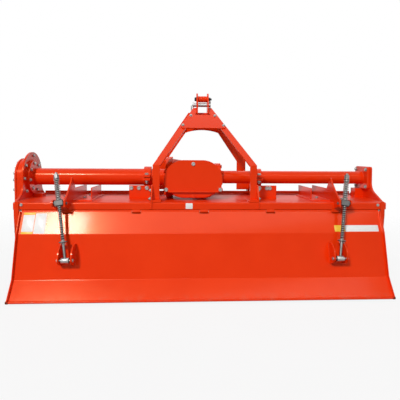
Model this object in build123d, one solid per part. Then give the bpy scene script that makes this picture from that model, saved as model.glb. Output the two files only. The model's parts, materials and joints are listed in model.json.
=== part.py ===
from build123d import *
import math
import os

# Rotary tiller for a three-point hitch, in millimetres.
# +X is to the right seen from behind, +Y is the direction of travel, +Z is up.
# Sizes are laid out from the hitch centre line, the tailgate's hinge line and the ground.
# The finished pieces are then moved so that the centre of the base is the origin.

# Working width and the main lines
body_centre_x = -6.0
body_half_width = 974.0
hinge_y = 8.0
hinge_z = 423.0
tube_y = 270.0
tube_z = 589.0
rotor_y = 270.0
rotor_z = 216.0

# Cross tubes between the gearbox and the side plates
left_tube_r = 47.5
right_tube_r = 37.5
tube_wall = 7.0
tube_flange_t = 15.0
left_end_margin = 50.0
right_end_half_y = 78.0
right_end_half_z = 64.0
right_end_corner = 12.0
side_plate_t = 10.0

# Centre gearbox
gearbox_left_x = -200.0
gearbox_right_x = 85.0
gearbox_rear_y = 128.0
gearbox_front_y = 392.0
left_flange_r = 118.0
right_flange_r = 82.0
left_rim_w = 24.0
right_rim_w = 18.0
left_rim_step = 12.0
right_rim_step = 10.0
neck_r = 66.0
neck_flange_r = 84.0
neck_flange_t = 14.0
neck_rib_t = 9.0
neck_rib_r = 79.0
neck_rib_count = 6
drum_rib_t = 10.0
drum_rib_h = 7.0
shield_left_x = -112.0
shield_right_x = -9.0
shield_r = 108.0
shield_z = 582.0
shield_y = 100.0
shield_t = 5.0
shield_flat_drop = 67.0
shield_lip = 10.0
shield_lip_t = 4.0
shield_lug_r = 14.0
shield_lug_out = 148.0
shield_lug_drop = 53.0
change_case_r = 100.0
change_case_round = 8.0
housing_rear_r = 84.0

# Input shaft and its guard
input_z = 582.0
input_r = 17.4
input_bore_r = 23.4
input_bore_depth = 112.0
input_tip_y = 510.0
spline_count = 6
spline_w = 8.6
spline_depth = 3.4
spline_length = 76.0
guard_root_r = 70.0
guard_mouth_r = 86.0
guard_t = 4.0
guard_length = 112.0
guard_clear_r = 31.4

# Deck over the rotor
deck_z = 470.0
deck_t = 5.0
deck_rear_y = 4.0
deck_front_y = 470.0
deck_flange_h = 36.0
deck_bend_r = 3.0
front_bar_h = 20.0
front_bar_w = 40.0
front_bar_t = 6.0

# Side plates
left_head_r = 140.0
right_head_rear_y = 182.0
right_head_front_y = 372.0
right_head_z = 656.0
plate_corner_y = 34.0
plate_corner_z = 462.0
plate_front_y = 480.0
plate_bottom_z = 60.0
plate_shoulder_z = 400.0
plate_toe_z = 120.0
plate_toe_inset = 30.0
plate_sole_inset = 90.0
plate_bend_r = 60.0
plate_corner_r = 12.0
left_waist_share = 0.98
left_waist_drop = 80.0
right_neck_drop = 60.0
right_head_corner_r = 14.0
seal_ring_r = 92.0
seal_ring_t = 6.0
post_w = 50.0
post_front_y = 330.0
post_gap = 1.0

# Side gear case on the left
case_top_r = 100.0
case_bottom_r = 88.0
case_depth = 42.0
cover_t = 14.0
cover_margin = 4.0
cover_round = 10.0
cap_t = 5.0
cap_round = 2.5
tube_cap_r = 52.0
idler_cap_r = 34.0
rotor_cap_r = 58.0

# Rotor
rotor_tube_r = 38.0
rotor_end_gap = 26.0
stub_r = 25.0
hub_r = 52.0
hub_reach = 16.0
hub_hole_gap = 2.0
bearing_flange_r = 78.0
bearing_flange_t = 12.0
bearing_cap = 28.0
bearing_round = 12.0
stub_depth = 28.0
stub_depth_right = 22.0
stub_end_gap = 2.0
flange_count = 8
flange_r = 88.0
flange_t = 8.0
flange_edge_gap = 126.0
blades_per_flange = 6
blade_t = 8.0
blade_tip_r = 192.0
blade_reach = 86.0
blade_bend_r = 26.0
blade_root_r = 44.0
blade_root_w = 52.0
blade_heel_y = 30.0
blade_nose_y = -78.0
blade_sweep = 26.0
blade_stagger = 15.0
running_gap = 0.05

# Tailgate
gate_half_width = 930.0
gate_t = 4.0
gate_bend_r = 10.0
gate_barrel_r = 9.0
hinge_rod_r = 6.0
hinge_rod_overhang = 12.0
crease_1 = (-50.4, 318.0)
crease_2 = (-103.4, 104.9)
gate_bottom = (-164.4, 18.0)
gate_end_t = 4.0
gate_end_lip = 15.0
gate_end_bend_r = 4.0
hem_r = 6.0
hem_overhang = 9.0
knuckle_w = 44.0
knuckle_count = 5
knuckle_inset = 230.0
knuckle_gap = 1.5
knuckle_leaf = 24.0

# Sprung hanger rods between the deck and the tailgate
eye_inset = 300.0
eye_y = -130.0
eye_z = 207.0
trunnion_inset = 248.0
trunnion_y = -50.0
trunnion_z = 473.0
trunnion_toe = 4.9
rod_r = 6.5
rod_above_trunnion = 160.0
eye_tube_r = 13.0
eye_bore_r = 10.8
eye_tube_w = 36.0
eye_pin_r = 4.4
pin_head_margin = 3.9
pin_head_t = 5.0
ear_t = 7.0
ear_gap = 56.0
ear_nose_r = 17.0
ear_rise = 66.0
ear_brow = 46.0
ear_drop = 34.0
ear_lean = 2.0
block_w = 38.0
block_size = 30.0
block_round = 5.0
block_bore_gap = 0.5
trunnion_pin_r = 7.0
trunnion_pin_overhang = 4.0
trunnion_ear_gap = 52.0
trunnion_ear_t = 8.0
trunnion_nose = 17.0
trunnion_nose_r = 15.0
bracket_front_y = 363.0
bracket_rise = 66.0
bracket_base_t = 6.0
bracket_base_margin = 30.0
bracket_rear_y = 60.0
horn_y = 64.0
horn_rise = 125.0
horn_bow = 6.0
horn_foot_y = 120.0
ear_dip_y = -20.0
ear_dip_z = 465.0
ear_sill = 5.0
ear_lap = 16.0
ear_heel_z = 440.0
rib_offset = 120.0
rib_t = 6.0
rib_rear_y = 128.0
washer_r = 20.0
washer_t = 4.0
nut_r = 13.0
nut_t = 11.0
lower_spring_r = 10.5
lower_spring_wire = 3.4
lower_spring_length = 176.0
upper_spring_r = 14.0
upper_spring_wire = 4.5
upper_spring_length = 110.0
spring_seat_gap = 0.3

# Mast: rear stays, front frame and top-link clevis
mast_rear_y = 33.0
stay_half_width = 276.0
stay_flange_w = 36.0
stay_web = 46.0
stay_t = 8.0
stay_foot_z = 482.0
stay_bend_z = 664.0
stay_top_x = 56.0
stay_top_y = 391.0
stay_top_z = 1009.0
rear_plate_drop = 75.0
rear_plate_h = 123.4
rear_plate_margin = 6.0
rear_plate_t = 6.0
rear_plate_corner_r = 14.0
front_frame_y = 450.0
front_frame_t = 10.0
front_leg_inner_x = 224.5
front_leg_w = 56.0
front_leg_web = 50.0
front_leg_foot_z = 500.0
front_bend_z = 680.0
front_top_inner_x = 18.0
front_plate_bottom_z = 858.0
front_plate_top_z = 985.0
front_plate_reach = 40.0
front_plate_t = 8.0
front_arch_rise = 18.0
clevis_gap = 57.0
clevis_t = 9.0
clevis_rear_y = 350.0
clevis_foot = 17.0
clevis_crown = 34.0
clevis_crown_w = 48.0
clevis_round = 20.0
clevis_shoulder_round = 30.0
top_pin_y = 405.0
top_pin_rise = 44.0
top_pin_r = 12.5
top_pin_left = 16.0
top_pin_right = 14.0
top_pin_head_margin = 5.0
top_pin_head_t = 6.0
spacer_rise = 35.0
spacer_r = 19.0
foot_t = 7.0
foot_top_z = 558.0
foot_front = 60.0
foot_lap = 32.0
foot_toe = 46.0
foot_proud = 6.0

# Tube clamps and lower hitch brackets
clamp_inner_x = 301.5
clamp_outer_x = 341.5
clamp_wall = 13.0
clamp_ear = 34.0
clamp_ear_t = 16.0
clamp_split = 4.0
pad_half = 30.0
pad_drop = 4.0
arm_t = 16.0
arm_low_rise = 38.0
arm_lap = 8.0
arm_brow = 50.0
arm_clear = 16.0
leg_lap = 44.0
leg_lap_drop = 10.0
lower_pin_y = 545.0
lower_pin_z = 440.0
lower_pin_r = 11.0
lower_pin_root_r = 14.0
lower_pin_reach = 98.0
lower_pin_head = 14.0
lower_pin_head_margin = 7.0
boss_r = 28.0
saddle_rear_y = 192.0
saddle_front_y = 352.0
saddle_outer_x = 420.0
saddle_plate_t = 8.0
saddle_plate_top_z = 545.0
saddle_rib_t = 8.0
saddle_rib_toe = 10.0

# Skids
skid_outer = 14.0
skid_inner = 24.0
skid_t = 8.0
skid_web_h = 110.0
skid_rear_y = 70.0
skid_front_y = 470.0
skid_tail = 36.0
skid_tail_h = 60.0
skid_ramp = 60.0
skid_nose_h = 90.0
skid_bend_r = 40.0
skid_web_inset = 14.0

# Places worked out from the sizes above
eye_x = body_half_width - eye_inset
trunnion_x = body_half_width - trunnion_inset
top_pin_z = front_plate_top_z + top_pin_rise
spacer_z = top_pin_z + spacer_rise
clevis_top_z = spacer_z + clevis_crown
left_inner_x = body_centre_x - body_half_width
front_leg_slope = (front_leg_inner_x - front_top_inner_x) / (front_plate_top_z - front_bend_z)
left_outer_x = left_inner_x - side_plate_t
right_inner_x = body_centre_x + body_half_width
right_outer_x = right_inner_x + side_plate_t
gate_left_x = body_centre_x - gate_half_width
gate_right_x = body_centre_x + gate_half_width
neck_face_y = gearbox_front_y + neck_flange_t

pieces = {}


def keep(name, shape):
    """Store one named piece of the machine."""
    pieces[name] = shape


def plate_yz(face, x0, x1):
    """A face drawn as (Y, Z), made solid between two X positions."""
    plane = Plane(origin=(x0, 0, 0), x_dir=(0, 1, 0), z_dir=(1, 0, 0))
    return extrude(plane * face, amount=x1 - x0)


def plate_xz(face, y0, y1):
    """A face drawn as (X, Z), made solid between two Y positions."""
    plane = Plane(origin=(0, y1, 0), x_dir=(1, 0, 0), z_dir=(0, -1, 0))
    return extrude(plane * face, amount=y1 - y0)


def block(x0, x1, y0, y1, z0, z1):
    """A rectangular block between two corners."""
    centre = Pos((x0 + x1) / 2, (y0 + y1) / 2, (z0 + z1) / 2)
    return centre * Box(x1 - x0, y1 - y0, z1 - z0)


def bar_x(r, x0, x1, y, z):
    """A round bar along X."""
    return Pos((x0 + x1) / 2, y, z) * Rot(0, 90, 0) * Cylinder(r, abs(x1 - x0))


def bar_y(r, y0, y1, x, z):
    """A round bar along Y."""
    return Pos(x, (y0 + y1) / 2, z) * Rot(90, 0, 0) * Cylinder(r, abs(y1 - y0))


def outline(points, radius=None):
    """A closed face through points, with its corners rounded when a radius is given."""
    if radius is None:
        return make_face(Polyline(*points, close=True))
    return make_face(FilletPolyline(*points, radius=radius, close=True))


def parallel(points, distance):
    """The line at a distance to the left of a line of points, mitred at its corners."""
    path = [Vector(*point) for point in points]
    runs = [(b - a).normalized() for a, b in zip(path, path[1:])]
    sides = [Vector(-run.Y, run.X) for run in runs]
    line = [path[0] + sides[0] * distance]
    for corner, before, after in zip(path[1:], sides, sides[1:]):
        middle = (before + after).normalized()
        line.append(corner + middle * (distance / middle.dot(before)))
    line.append(path[-1] + sides[-1] * distance)
    return [(point.X, point.Y) for point in line]


def folded(points, thickness, bend):
    """The edge-on shape of a folded sheet, lying to the left of a line of points on its face."""
    path = [Vector(*point) for point in points]
    near = []
    far = []
    for start, corner, end in zip(path, path[1:], path[2:]):
        turns_left = (corner - start).cross(end - corner).Z > 0
        near.append(bend + thickness if turns_left else bend)
        far.append(bend if turns_left else bend + thickness)
    radii = [0] + near + [0, 0] + far[::-1] + [0]
    return outline(list(points) + parallel(points, thickness)[::-1], radii)


def both_sides(make, name):
    """Make a piece for the left and the right of the machine."""
    for word, side in (("left", -1), ("right", 1)):
        keep(f"{name}_{word}", make(side))


def span(side, near, far):
    """Two X positions in rising order, at the given distances to one side of the centre."""
    return (near, far) if side > 0 else (-far, -near)


# Cross tubes
def make_left_tube():
    """Wide tube with a round flange at the gearbox and another at the side plate."""
    ends = (left_inner_x, gearbox_left_x)
    end_r = left_tube_r + left_end_margin
    tube = bar_x(left_tube_r, *ends, tube_y, tube_z)
    tube += bar_x(left_flange_r, gearbox_left_x - tube_flange_t, gearbox_left_x, tube_y, tube_z)
    tube += bar_x(end_r, left_inner_x, left_inner_x + tube_flange_t, tube_y, tube_z)
    return tube - bar_x(left_tube_r - tube_wall, *ends, tube_y, tube_z)


def make_right_tube():
    """Slimmer tube with a round flange at the gearbox and a square one at the side plate."""
    ends = (gearbox_right_x, right_inner_x)
    tube = bar_x(right_tube_r, *ends, tube_y, tube_z)
    tube += bar_x(right_flange_r, gearbox_right_x, gearbox_right_x + tube_flange_t, tube_y, tube_z)
    y = right_end_half_y
    z = right_end_half_z
    square = outline([(-y, -z), (y, -z), (y, z), (-y, z)], right_end_corner)
    tube += plate_yz(Pos(tube_y, tube_z) * square, right_inner_x - tube_flange_t, right_inner_x)
    return tube - bar_x(right_tube_r - tube_wall, *ends, tube_y, tube_z)


# Centre gearbox
def change_outline(radius):
    """Round-ended outline about the two change-gear shafts."""
    left = Pos(shield_left_x, shield_z) * Circle(radius)
    right = Pos(shield_right_x, shield_z) * Circle(radius)
    return make_hull(left.edges() + right.edges())


def round_input(angle):
    """A turn about the input shaft's axis."""
    return Pos(0, 0, input_z) * Rot(0, angle, 0) * Pos(0, 0, -input_z)


def make_gearbox():
    """Cast housing: a drum round the cross shaft, a box behind it and a ribbed neck for the input shaft."""
    drum_left = gearbox_left_x + left_rim_w
    drum_right = gearbox_right_x - right_rim_w
    left_r = left_flange_r - left_rim_step
    right_r = right_flange_r - right_rim_step
    across = Plane(origin=(0, tube_y, tube_z), z_dir=(1, 0, 0))
    body = bar_x(left_flange_r, gearbox_left_x, drum_left, tube_y, tube_z)
    body += bar_x(right_flange_r, drum_right, gearbox_right_x, tube_y, tube_z)
    body += loft([across.offset(drum_left) * Circle(left_r), across.offset(drum_right) * Circle(right_r)])
    middle = (drum_left + drum_right - drum_rib_t) / 2
    body += bar_x((left_r + right_r) / 2 + drum_rib_h, middle, middle + drum_rib_t, tube_y, tube_z)
    body += plate_xz(change_outline(housing_rear_r), gearbox_rear_y, tube_y)
    body += bar_y(neck_r, tube_y, gearbox_front_y, 0, input_z)
    body += bar_y(neck_flange_r, gearbox_front_y, neck_face_y, 0, input_z)
    rib = block(-neck_rib_t / 2, neck_rib_t / 2, tube_y, gearbox_front_y, input_z, input_z + neck_rib_r)
    for step in range(neck_rib_count):
        body += round_input(360 / neck_rib_count * (step + 0.5)) * rib
    return body - bar_y(input_bore_r, neck_face_y - input_bore_depth, neck_face_y, 0, input_z)


def shield_lugs(y0, y1):
    """The pair of round lugs that the shield is bolted down by, one at each end."""
    middle = (shield_left_x + shield_right_x) / 2
    left = bar_y(shield_lug_r, y0, y1, middle - shield_lug_out, shield_z - shield_lug_drop)
    return left + bar_y(shield_lug_r, y0, y1, middle + shield_lug_out, shield_z - shield_lug_drop)


def make_change_case():
    """Round-ended case over the change gears, behind the housing."""
    rear_y = shield_y + shield_t
    case = plate_xz(change_outline(change_case_r), rear_y, gearbox_rear_y)
    case = fillet(case.faces().sort_by(Axis.Y)[0].edges(), change_case_round)
    return case + shield_lugs(rear_y, gearbox_rear_y)


def make_shield():
    """Sheet shield with round ends, cut flat along the bottom, where it has a lip."""
    flat_z = shield_z - shield_flat_drop
    half_chord = math.sqrt(shield_r**2 - shield_flat_drop**2)
    left = shield_left_x - half_chord
    right = shield_right_x + half_chord
    below = block(left - shield_r, right + shield_r, shield_y, shield_y + shield_t, 0, flat_z)
    plate = plate_xz(change_outline(shield_r), shield_y, shield_y + shield_t) - below
    plate += shield_lugs(shield_y, shield_y + shield_t)
    return plate + block(left, right, shield_y - shield_lip, shield_y, flat_z, flat_z + shield_lip_t)


def make_shaft_guard():
    """Open cone over the input shaft, bolted to the front of the gearbox."""
    ring = Plane(origin=(0, neck_face_y, input_z), x_dir=(1, 0, 0), z_dir=(0, 1, 0))
    outer = loft([ring * Circle(guard_root_r), ring.offset(guard_length) * Circle(guard_mouth_r)])
    inner = loft([
        ring.offset(guard_t) * Circle(guard_root_r - guard_t),
        ring.offset(guard_length) * Circle(guard_mouth_r - guard_t),
    ])
    return outer - inner - bar_y(guard_clear_r, neck_face_y, neck_face_y + guard_t, 0, input_z)


def make_input_shaft():
    """Splined stub that the drive shaft slides on."""
    start = neck_face_y - input_bore_depth + stub_end_gap
    shaft = bar_y(input_r - spline_depth, start, input_tip_y, 0, input_z)
    tooth = block(-spline_w / 2, spline_w / 2, input_tip_y - spline_length, input_tip_y,
                  input_z, input_z + input_r)
    for step in range(spline_count):
        shaft += round_input(360 / spline_count * step) * tooth
    return shaft + bar_y(input_bore_r - running_gap, start, neck_face_y - stub_end_gap / 2, 0, input_z)


# Deck
def make_deck():
    """Folded sheet with a rear flange that faces the tailgate's hinge."""
    face = folded(
        [(deck_front_y, deck_z), (deck_rear_y, deck_z), (deck_rear_y, deck_z - deck_flange_h)],
        deck_t, deck_bend_r,
    )
    return plate_yz(face, left_inner_x, right_inner_x)


def make_front_bar():
    """Angle bar along the deck's front edge, one leg standing up."""
    y1 = deck_front_y
    bar = block(left_inner_x, right_inner_x, y1 - front_bar_w, y1, deck_z, deck_z + front_bar_t)
    return bar + block(left_inner_x, right_inner_x, y1 - front_bar_t, y1, deck_z, deck_z + front_bar_h)


# Side plates
def lower_outline():
    """Points of a side plate from its front shoulder round the bottom to its rear corner."""
    return [
        (plate_front_y, plate_corner_z),
        (plate_front_y, plate_shoulder_z),
        (plate_front_y - plate_toe_inset, plate_toe_z),
        (plate_front_y - plate_sole_inset, plate_bottom_z),
        (plate_corner_y + plate_sole_inset, plate_bottom_z),
        (plate_corner_y + plate_toe_inset, plate_toe_z),
        (plate_corner_y, plate_shoulder_z),
        (plate_corner_y, plate_corner_z),
    ]


def lower_radii():
    """Corner radii that go with the lower outline's points."""
    return [plate_corner_r] + 6 * [plate_bend_r] + [plate_corner_r]


def plate_extras(inner_x, way, post_top_z):
    """The seal ring round the rotor's hub and the post on the deck, inside a side plate."""
    ring = bar_x(seal_ring_r, inner_x, inner_x + way * seal_ring_t, rotor_y, rotor_z)
    x0, x1 = sorted((inner_x, inner_x + way * post_w))
    return ring + block(x0, x1, tube_y, post_front_y, deck_z, post_top_z)


def make_left_plate():
    """Plate with a round head that carries the tube and the gear case."""
    waist = left_head_r * left_waist_share
    low_z = tube_z - left_waist_drop
    points = lower_outline() + [
        (tube_y - waist, low_z),
        (tube_y - waist, tube_z),
        (tube_y + waist, tube_z),
        (tube_y + waist, low_z),
    ]
    body = outline(points, lower_radii() + [plate_bend_r, 0, 0, plate_bend_r])
    head = Pos(tube_y, tube_z) * Circle(left_head_r)
    plate = plate_yz(body + head, left_outer_x, left_inner_x)
    plate += plate_extras(left_inner_x, 1, tube_z - left_tube_r - left_end_margin - post_gap)
    plate -= bar_x(left_tube_r - tube_wall, left_outer_x, left_inner_x, tube_y, tube_z)
    return plate - bar_x(hub_r + hub_hole_gap, left_outer_x, left_inner_x + seal_ring_t, rotor_y, rotor_z)


def make_right_plate():
    """Plate with a square head that carries the tube's square flange."""
    neck_z = tube_z - right_neck_drop
    points = lower_outline() + [
        (right_head_rear_y, neck_z),
        (right_head_rear_y, right_head_z),
        (right_head_front_y, right_head_z),
        (right_head_front_y, neck_z),
    ]
    radii = lower_radii() + [plate_bend_r, right_head_corner_r, right_head_corner_r, plate_bend_r]
    plate = plate_yz(outline(points, radii), right_inner_x, right_outer_x)
    plate += plate_extras(right_inner_x, -1, tube_z - right_end_half_z - post_gap)
    return plate - bar_x(hub_r + hub_hole_gap, right_inner_x - seal_ring_t, right_outer_x, rotor_y, rotor_z)


def case_outline(grow):
    """Outline of the side gear case, from the tube's axis down to the rotor's."""
    return make_hull(
        (Pos(tube_y, tube_z) * Circle(case_top_r + grow)).edges()
        + (Pos(rotor_y, rotor_z) * Circle(case_bottom_r + grow)).edges()
    )


def make_gear_case():
    """Case for the side gears, with the rotor's hub reaching in through the side plate."""
    hub_end = left_inner_x + hub_reach
    case = plate_yz(case_outline(0), left_outer_x - case_depth, left_outer_x)
    case += bar_x(hub_r, left_outer_x, hub_end, rotor_y, rotor_z)
    bore_end = left_outer_x - stub_depth - stub_end_gap
    return case - bar_x(stub_r + running_gap, bore_end, hub_end, rotor_y, rotor_z)


def make_case_cover():
    """Bolted cover of the gear case, with a rounded rim and a cap over each of its three shafts."""
    outer_x = left_outer_x - case_depth - cover_t
    cover = plate_yz(case_outline(cover_margin), outer_x, left_outer_x - case_depth)
    cover = fillet(cover.faces().sort_by(Axis.X)[0].edges(), cover_round)
    idler_y = (tube_y + rotor_y) / 2
    idler_z = (tube_z + rotor_z) / 2
    for cap_r, y, z in (
        (tube_cap_r, tube_y, tube_z),
        (idler_cap_r, idler_y, idler_z),
        (rotor_cap_r, rotor_y, rotor_z),
    ):
        cap = bar_x(cap_r, outer_x - cap_t, outer_x + cap_t, y, z)
        cover += fillet(cap.edges().sort_by(Axis.X)[0], cap_round)
    return cover


def make_right_bearing():
    """Flanged bearing housing for the rotor's free end, closed by a domed cap."""
    hub_end = right_inner_x - hub_reach
    housing = bar_x(bearing_flange_r, right_outer_x, right_outer_x + bearing_flange_t, rotor_y, rotor_z)
    hub = bar_x(hub_r, hub_end, right_outer_x + bearing_flange_t + bearing_cap, rotor_y, rotor_z)
    housing += fillet(hub.edges().sort_by(Axis.X)[-1], bearing_round)
    bore_end = right_outer_x + stub_depth_right + stub_end_gap
    return housing - bar_x(stub_r + running_gap, hub_end, bore_end, rotor_y, rotor_z)


# Rotor
def make_blade():
    """One L-shaped blade pointing up from the rotor's axis, its foot turned towards +X."""
    foot = folded(
        [(blade_reach, blade_tip_r), (0, blade_tip_r), (0, blade_root_r)],
        blade_t, blade_bend_r - blade_t,
    )
    half = blade_root_w / 2
    heel = (blade_heel_y - blade_sweep, blade_tip_r)
    nose = (blade_nose_y, blade_tip_r)
    middle = (blade_root_r + blade_tip_r) / 2
    leading = ThreePointArc((half, blade_root_r), (blade_heel_y, middle), heel)
    rest = Polyline(heel, nose, (blade_nose_y / 2, middle), (-half, blade_root_r), (half, blade_root_r))
    swept = make_face(leading.edges() + rest.edges())
    bent = plate_xz(foot, blade_nose_y, half + blade_heel_y)
    return bent & plate_yz(swept, 0, blade_reach)


def make_flange():
    """One flange of the rotor with its blades, half of them turned each way."""
    half = flange_t / 2
    flange = bar_x(flange_r, -half, half, 0, 0) - bar_x(rotor_tube_r - 1, -half, half, 0, 0)
    right_blade = Pos(half, 0, 0) * make_blade()
    left_blade = mirror(right_blade, about=Plane.YZ)
    step = 360 / blades_per_flange
    blades = []
    for index in range(blades_per_flange):
        blade = right_blade if index % 2 else left_blade
        blades.append(Rot(step * index, 0, 0) * blade)
    return flange.fuse(*blades)


def make_rotor():
    """Shaft with its flanges and blades, set round in a spiral."""
    left = left_inner_x + rotor_end_gap
    right = right_inner_x - rotor_end_gap
    shaft = bar_x(rotor_tube_r, left, right, 0, 0)
    shaft += bar_x(stub_r, left_outer_x - stub_depth, right_outer_x + stub_depth_right, 0, 0)
    one = make_flange()
    first = left_inner_x + flange_edge_gap
    pitch = (right_inner_x - left_inner_x - 2 * flange_edge_gap) / (flange_count - 1)
    flanges = [
        Pos(first + pitch * index, 0, 0) * Rot(blade_stagger * index, 0, 0) * one
        for index in range(flange_count)
    ]
    return Pos(0, rotor_y, rotor_z) * shaft.fuse(*flanges)


# Tailgate
def knuckle_centres():
    """X positions of the deck's hinge knuckles, evenly spaced."""
    first = gate_left_x + knuckle_inset
    pitch = 2 * (gate_half_width - knuckle_inset) / (knuckle_count - 1)
    return [first + pitch * index for index in range(knuckle_count)]


def gate_line():
    """The tailgate's rear face from the hinge barrel down to its bottom edge."""
    return [(hinge_y - gate_barrel_r, hinge_z), crease_1, crease_2, gate_bottom]


def make_tailgate():
    """Panel folded at two creases, with a rolled hinge barrel, end lips and a round hem."""
    panel = folded(gate_line(), gate_t, gate_bend_r)
    gate = plate_yz(panel, gate_left_x, gate_right_x)
    end = folded(parallel(gate_line(), -gate_end_lip), gate_t + gate_end_lip, gate_end_bend_r)
    gate += plate_yz(end, gate_left_x - gate_end_t, gate_left_x)
    gate += plate_yz(end, gate_right_x, gate_right_x + gate_end_t)
    gate += bar_x(gate_barrel_r, gate_left_x, gate_right_x, hinge_y, hinge_z)
    gate += bar_x(hem_r, gate_left_x - hem_overhang, gate_right_x + hem_overhang, *gate_bottom)
    left = gate_left_x - gate_end_t
    right = gate_right_x + gate_end_t
    gate -= bar_x(hinge_rod_r + running_gap, left, right, hinge_y, hinge_z)
    reach = gate_barrel_r + gate_t
    for centre in knuckle_centres():
        half = knuckle_w / 2 + knuckle_gap
        gate -= block(centre - half, centre + half, hinge_y - reach, hinge_y + reach,
                      hinge_z - reach, hinge_z + reach)
    return gate


def make_hinge_rod():
    """Long rod through the hinge knuckles."""
    left = gate_left_x - hinge_rod_overhang
    return bar_x(hinge_rod_r, left, gate_right_x + hinge_rod_overhang, hinge_y, hinge_z)


def make_knuckles():
    """Hinge knuckles under the deck's rear flange."""
    top = deck_z - deck_flange_h
    knuckles = []
    for centre in knuckle_centres():
        x0 = centre - knuckle_w / 2
        x1 = centre + knuckle_w / 2
        one = bar_x(gate_barrel_r, x0, x1, hinge_y, hinge_z)
        one += block(x0, x1, deck_rear_y, deck_rear_y + deck_t, hinge_z, top)
        one += block(x0, x1, deck_rear_y + deck_t, deck_rear_y + 2 * deck_t, hinge_z, top + knuckle_leaf)
        knuckles.append(one - bar_x(hinge_rod_r, x0, x1, hinge_y, hinge_z))
    return Compound(knuckles)


def gate_y_at(z):
    """Y of the tailgate's rear face at a height between its two creases."""
    share = (crease_1[1] - z) / (crease_1[1] - crease_2[1])
    return crease_1[0] + share * (crease_2[0] - crease_1[0])


def make_gate_ears(side):
    """Two curved ears on the tailgate that hold the hanger rod's eye pin."""
    x = body_centre_x + side * eye_x
    top = eye_z + ear_rise
    low = eye_z - ear_drop
    upper_end = (gate_y_at(top), top)
    lower_end = (gate_y_at(low), low)
    nose = (eye_y - ear_nose_r, eye_z)
    brow = ThreePointArc(upper_end, (eye_y - ear_lean, eye_z + ear_brow), nose)
    chin = ThreePointArc(nose, (eye_y - ear_lean, eye_z - ear_nose_r), lower_end)
    profile = make_face(Polyline(lower_end, upper_end).edges() + brow.edges() + chin.edges())
    ears = []
    for way in (-1, 1):
        near = x + way * ear_gap / 2
        far = near + way * ear_t
        ear = plate_yz(profile, min(near, far), max(near, far))
        ears.append(ear - bar_x(eye_pin_r, x - ear_gap, x + ear_gap, eye_y, eye_z))
    return Compound(ears)


def make_eye_pin(side):
    """Pin through the ears, headed at both ends."""
    x = body_centre_x + side * eye_x
    half = ear_gap / 2 + ear_t
    pin = bar_x(eye_pin_r, x - half, x + half, eye_y, eye_z)
    head_r = eye_pin_r + pin_head_margin
    pin += bar_x(head_r, x - half - pin_head_t, x - half, eye_y, eye_z)
    return pin + bar_x(head_r, x + half, x + half + pin_head_t, eye_y, eye_z)


# Hanger rods
def rod_frame(side):
    """A plane at the trunnion: its z runs up the rod and its x along the trunnion's pins."""
    eye = Vector(body_centre_x + side * eye_x, eye_y, eye_z)
    pivot = Vector(body_centre_x + side * trunnion_x, trunnion_y, trunnion_z)
    up = (pivot - eye).normalized()
    return Plane(origin=pivot, x_dir=pin_axis(side), z_dir=up), (pivot - eye).length


def pin_axis(side):
    """Direction of the trunnion's pins, toed so that the rod swings in line with its ears."""
    toe = math.radians(trunnion_toe)
    return Vector(math.cos(toe), -side * math.sin(toe), 0)


def make_trunnion(side):
    """Block with a hole for the rod and a pin at each side, set along the pivot's axis."""
    pivot = Vector(body_centre_x + side * trunnion_x, trunnion_y, trunnion_z)
    frame, _ = rod_frame(side)
    body = Box(block_w, block_size, block_size)
    body = frame * fillet(body.edges().filter_by(Axis.X), block_round)
    pins = Plane(origin=pivot, z_dir=pin_axis(side))
    reach = trunnion_ear_gap / 2 + trunnion_ear_t + trunnion_pin_overhang
    body += pins * Cylinder(trunnion_pin_r, 2 * reach)
    return body - frame * Cylinder(rod_r + block_bore_gap, 2 * block_size)


def make_hanger_rod(side):
    """Rod with the eye tube at its foot, the lower spring washer and the two top nuts."""
    frame, length = rod_frame(side)
    eye = Vector(body_centre_x + side * eye_x, eye_y, eye_z)
    top = rod_above_trunnion
    rod = frame * Pos(0, 0, (top - length) / 2) * Cylinder(rod_r, top + length)
    half = eye_tube_w / 2
    rod += bar_x(eye_tube_r, eye.X - half, eye.X + half, eye_y, eye_z)
    rod -= bar_x(eye_bore_r, eye.X - half, eye.X + half, eye_y, eye_z)
    washer_z = -block_size / 2 - lower_spring_length - 2 * spring_seat_gap - washer_t / 2
    rod += frame * Pos(0, 0, washer_z) * Cylinder(washer_r, washer_t)
    nut = extrude(RegularPolygon(nut_r, 6), amount=nut_t)
    first = block_size / 2 + upper_spring_length + 2 * spring_seat_gap + washer_t
    rod += frame * Pos(0, 0, first - washer_t / 2) * Cylinder(upper_spring_r, washer_t)
    rod += frame * Pos(0, 0, first) * nut
    return rod + frame * Pos(0, 0, first + nut_t) * nut


def make_spring(side, start, length, radius, wire):
    """Sleeve of a spring's size round the rod."""
    frame, _ = rod_frame(side)
    sleeve = Cylinder(radius, length) - Cylinder(radius - wire, length)
    return frame * Pos(0, 0, start + length / 2) * sleeve


def make_lower_spring(side):
    start = -block_size / 2 - spring_seat_gap - lower_spring_length
    return make_spring(side, start, lower_spring_length, lower_spring_r, lower_spring_wire)


def make_upper_spring(side):
    start = block_size / 2 + spring_seat_gap
    return make_spring(side, start, upper_spring_length, upper_spring_r, upper_spring_wire)


def horned_ear():
    """Outline (Y, Z) of a trunnion's inner ear, which runs along the deck and has a tall curved horn."""
    nose_y = trunnion_y - trunnion_nose
    low_z = trunnion_z - trunnion_nose
    high = (nose_y, trunnion_z + trunnion_nose)
    top_z = deck_z + bracket_rise
    foot = Polyline(
        high, (nose_y, low_z), (trunnion_y, low_z), (deck_rear_y, ear_heel_z), (deck_rear_y, deck_z),
        (bracket_front_y, deck_z), (bracket_front_y, top_z),
    )
    tip = (horn_y, deck_z + horn_rise)
    bow = ((nose_y + horn_y) / 2 + horn_bow, (high[1] + tip[1]) / 2 - horn_bow)
    back = Polyline((bracket_front_y, top_z), (horn_foot_y, top_z), (horn_y + trunnion_ear_t, tip[1]), tip)
    return make_face(foot.edges() + back.edges() + ThreePointArc(tip, bow, high).edges())


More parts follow.
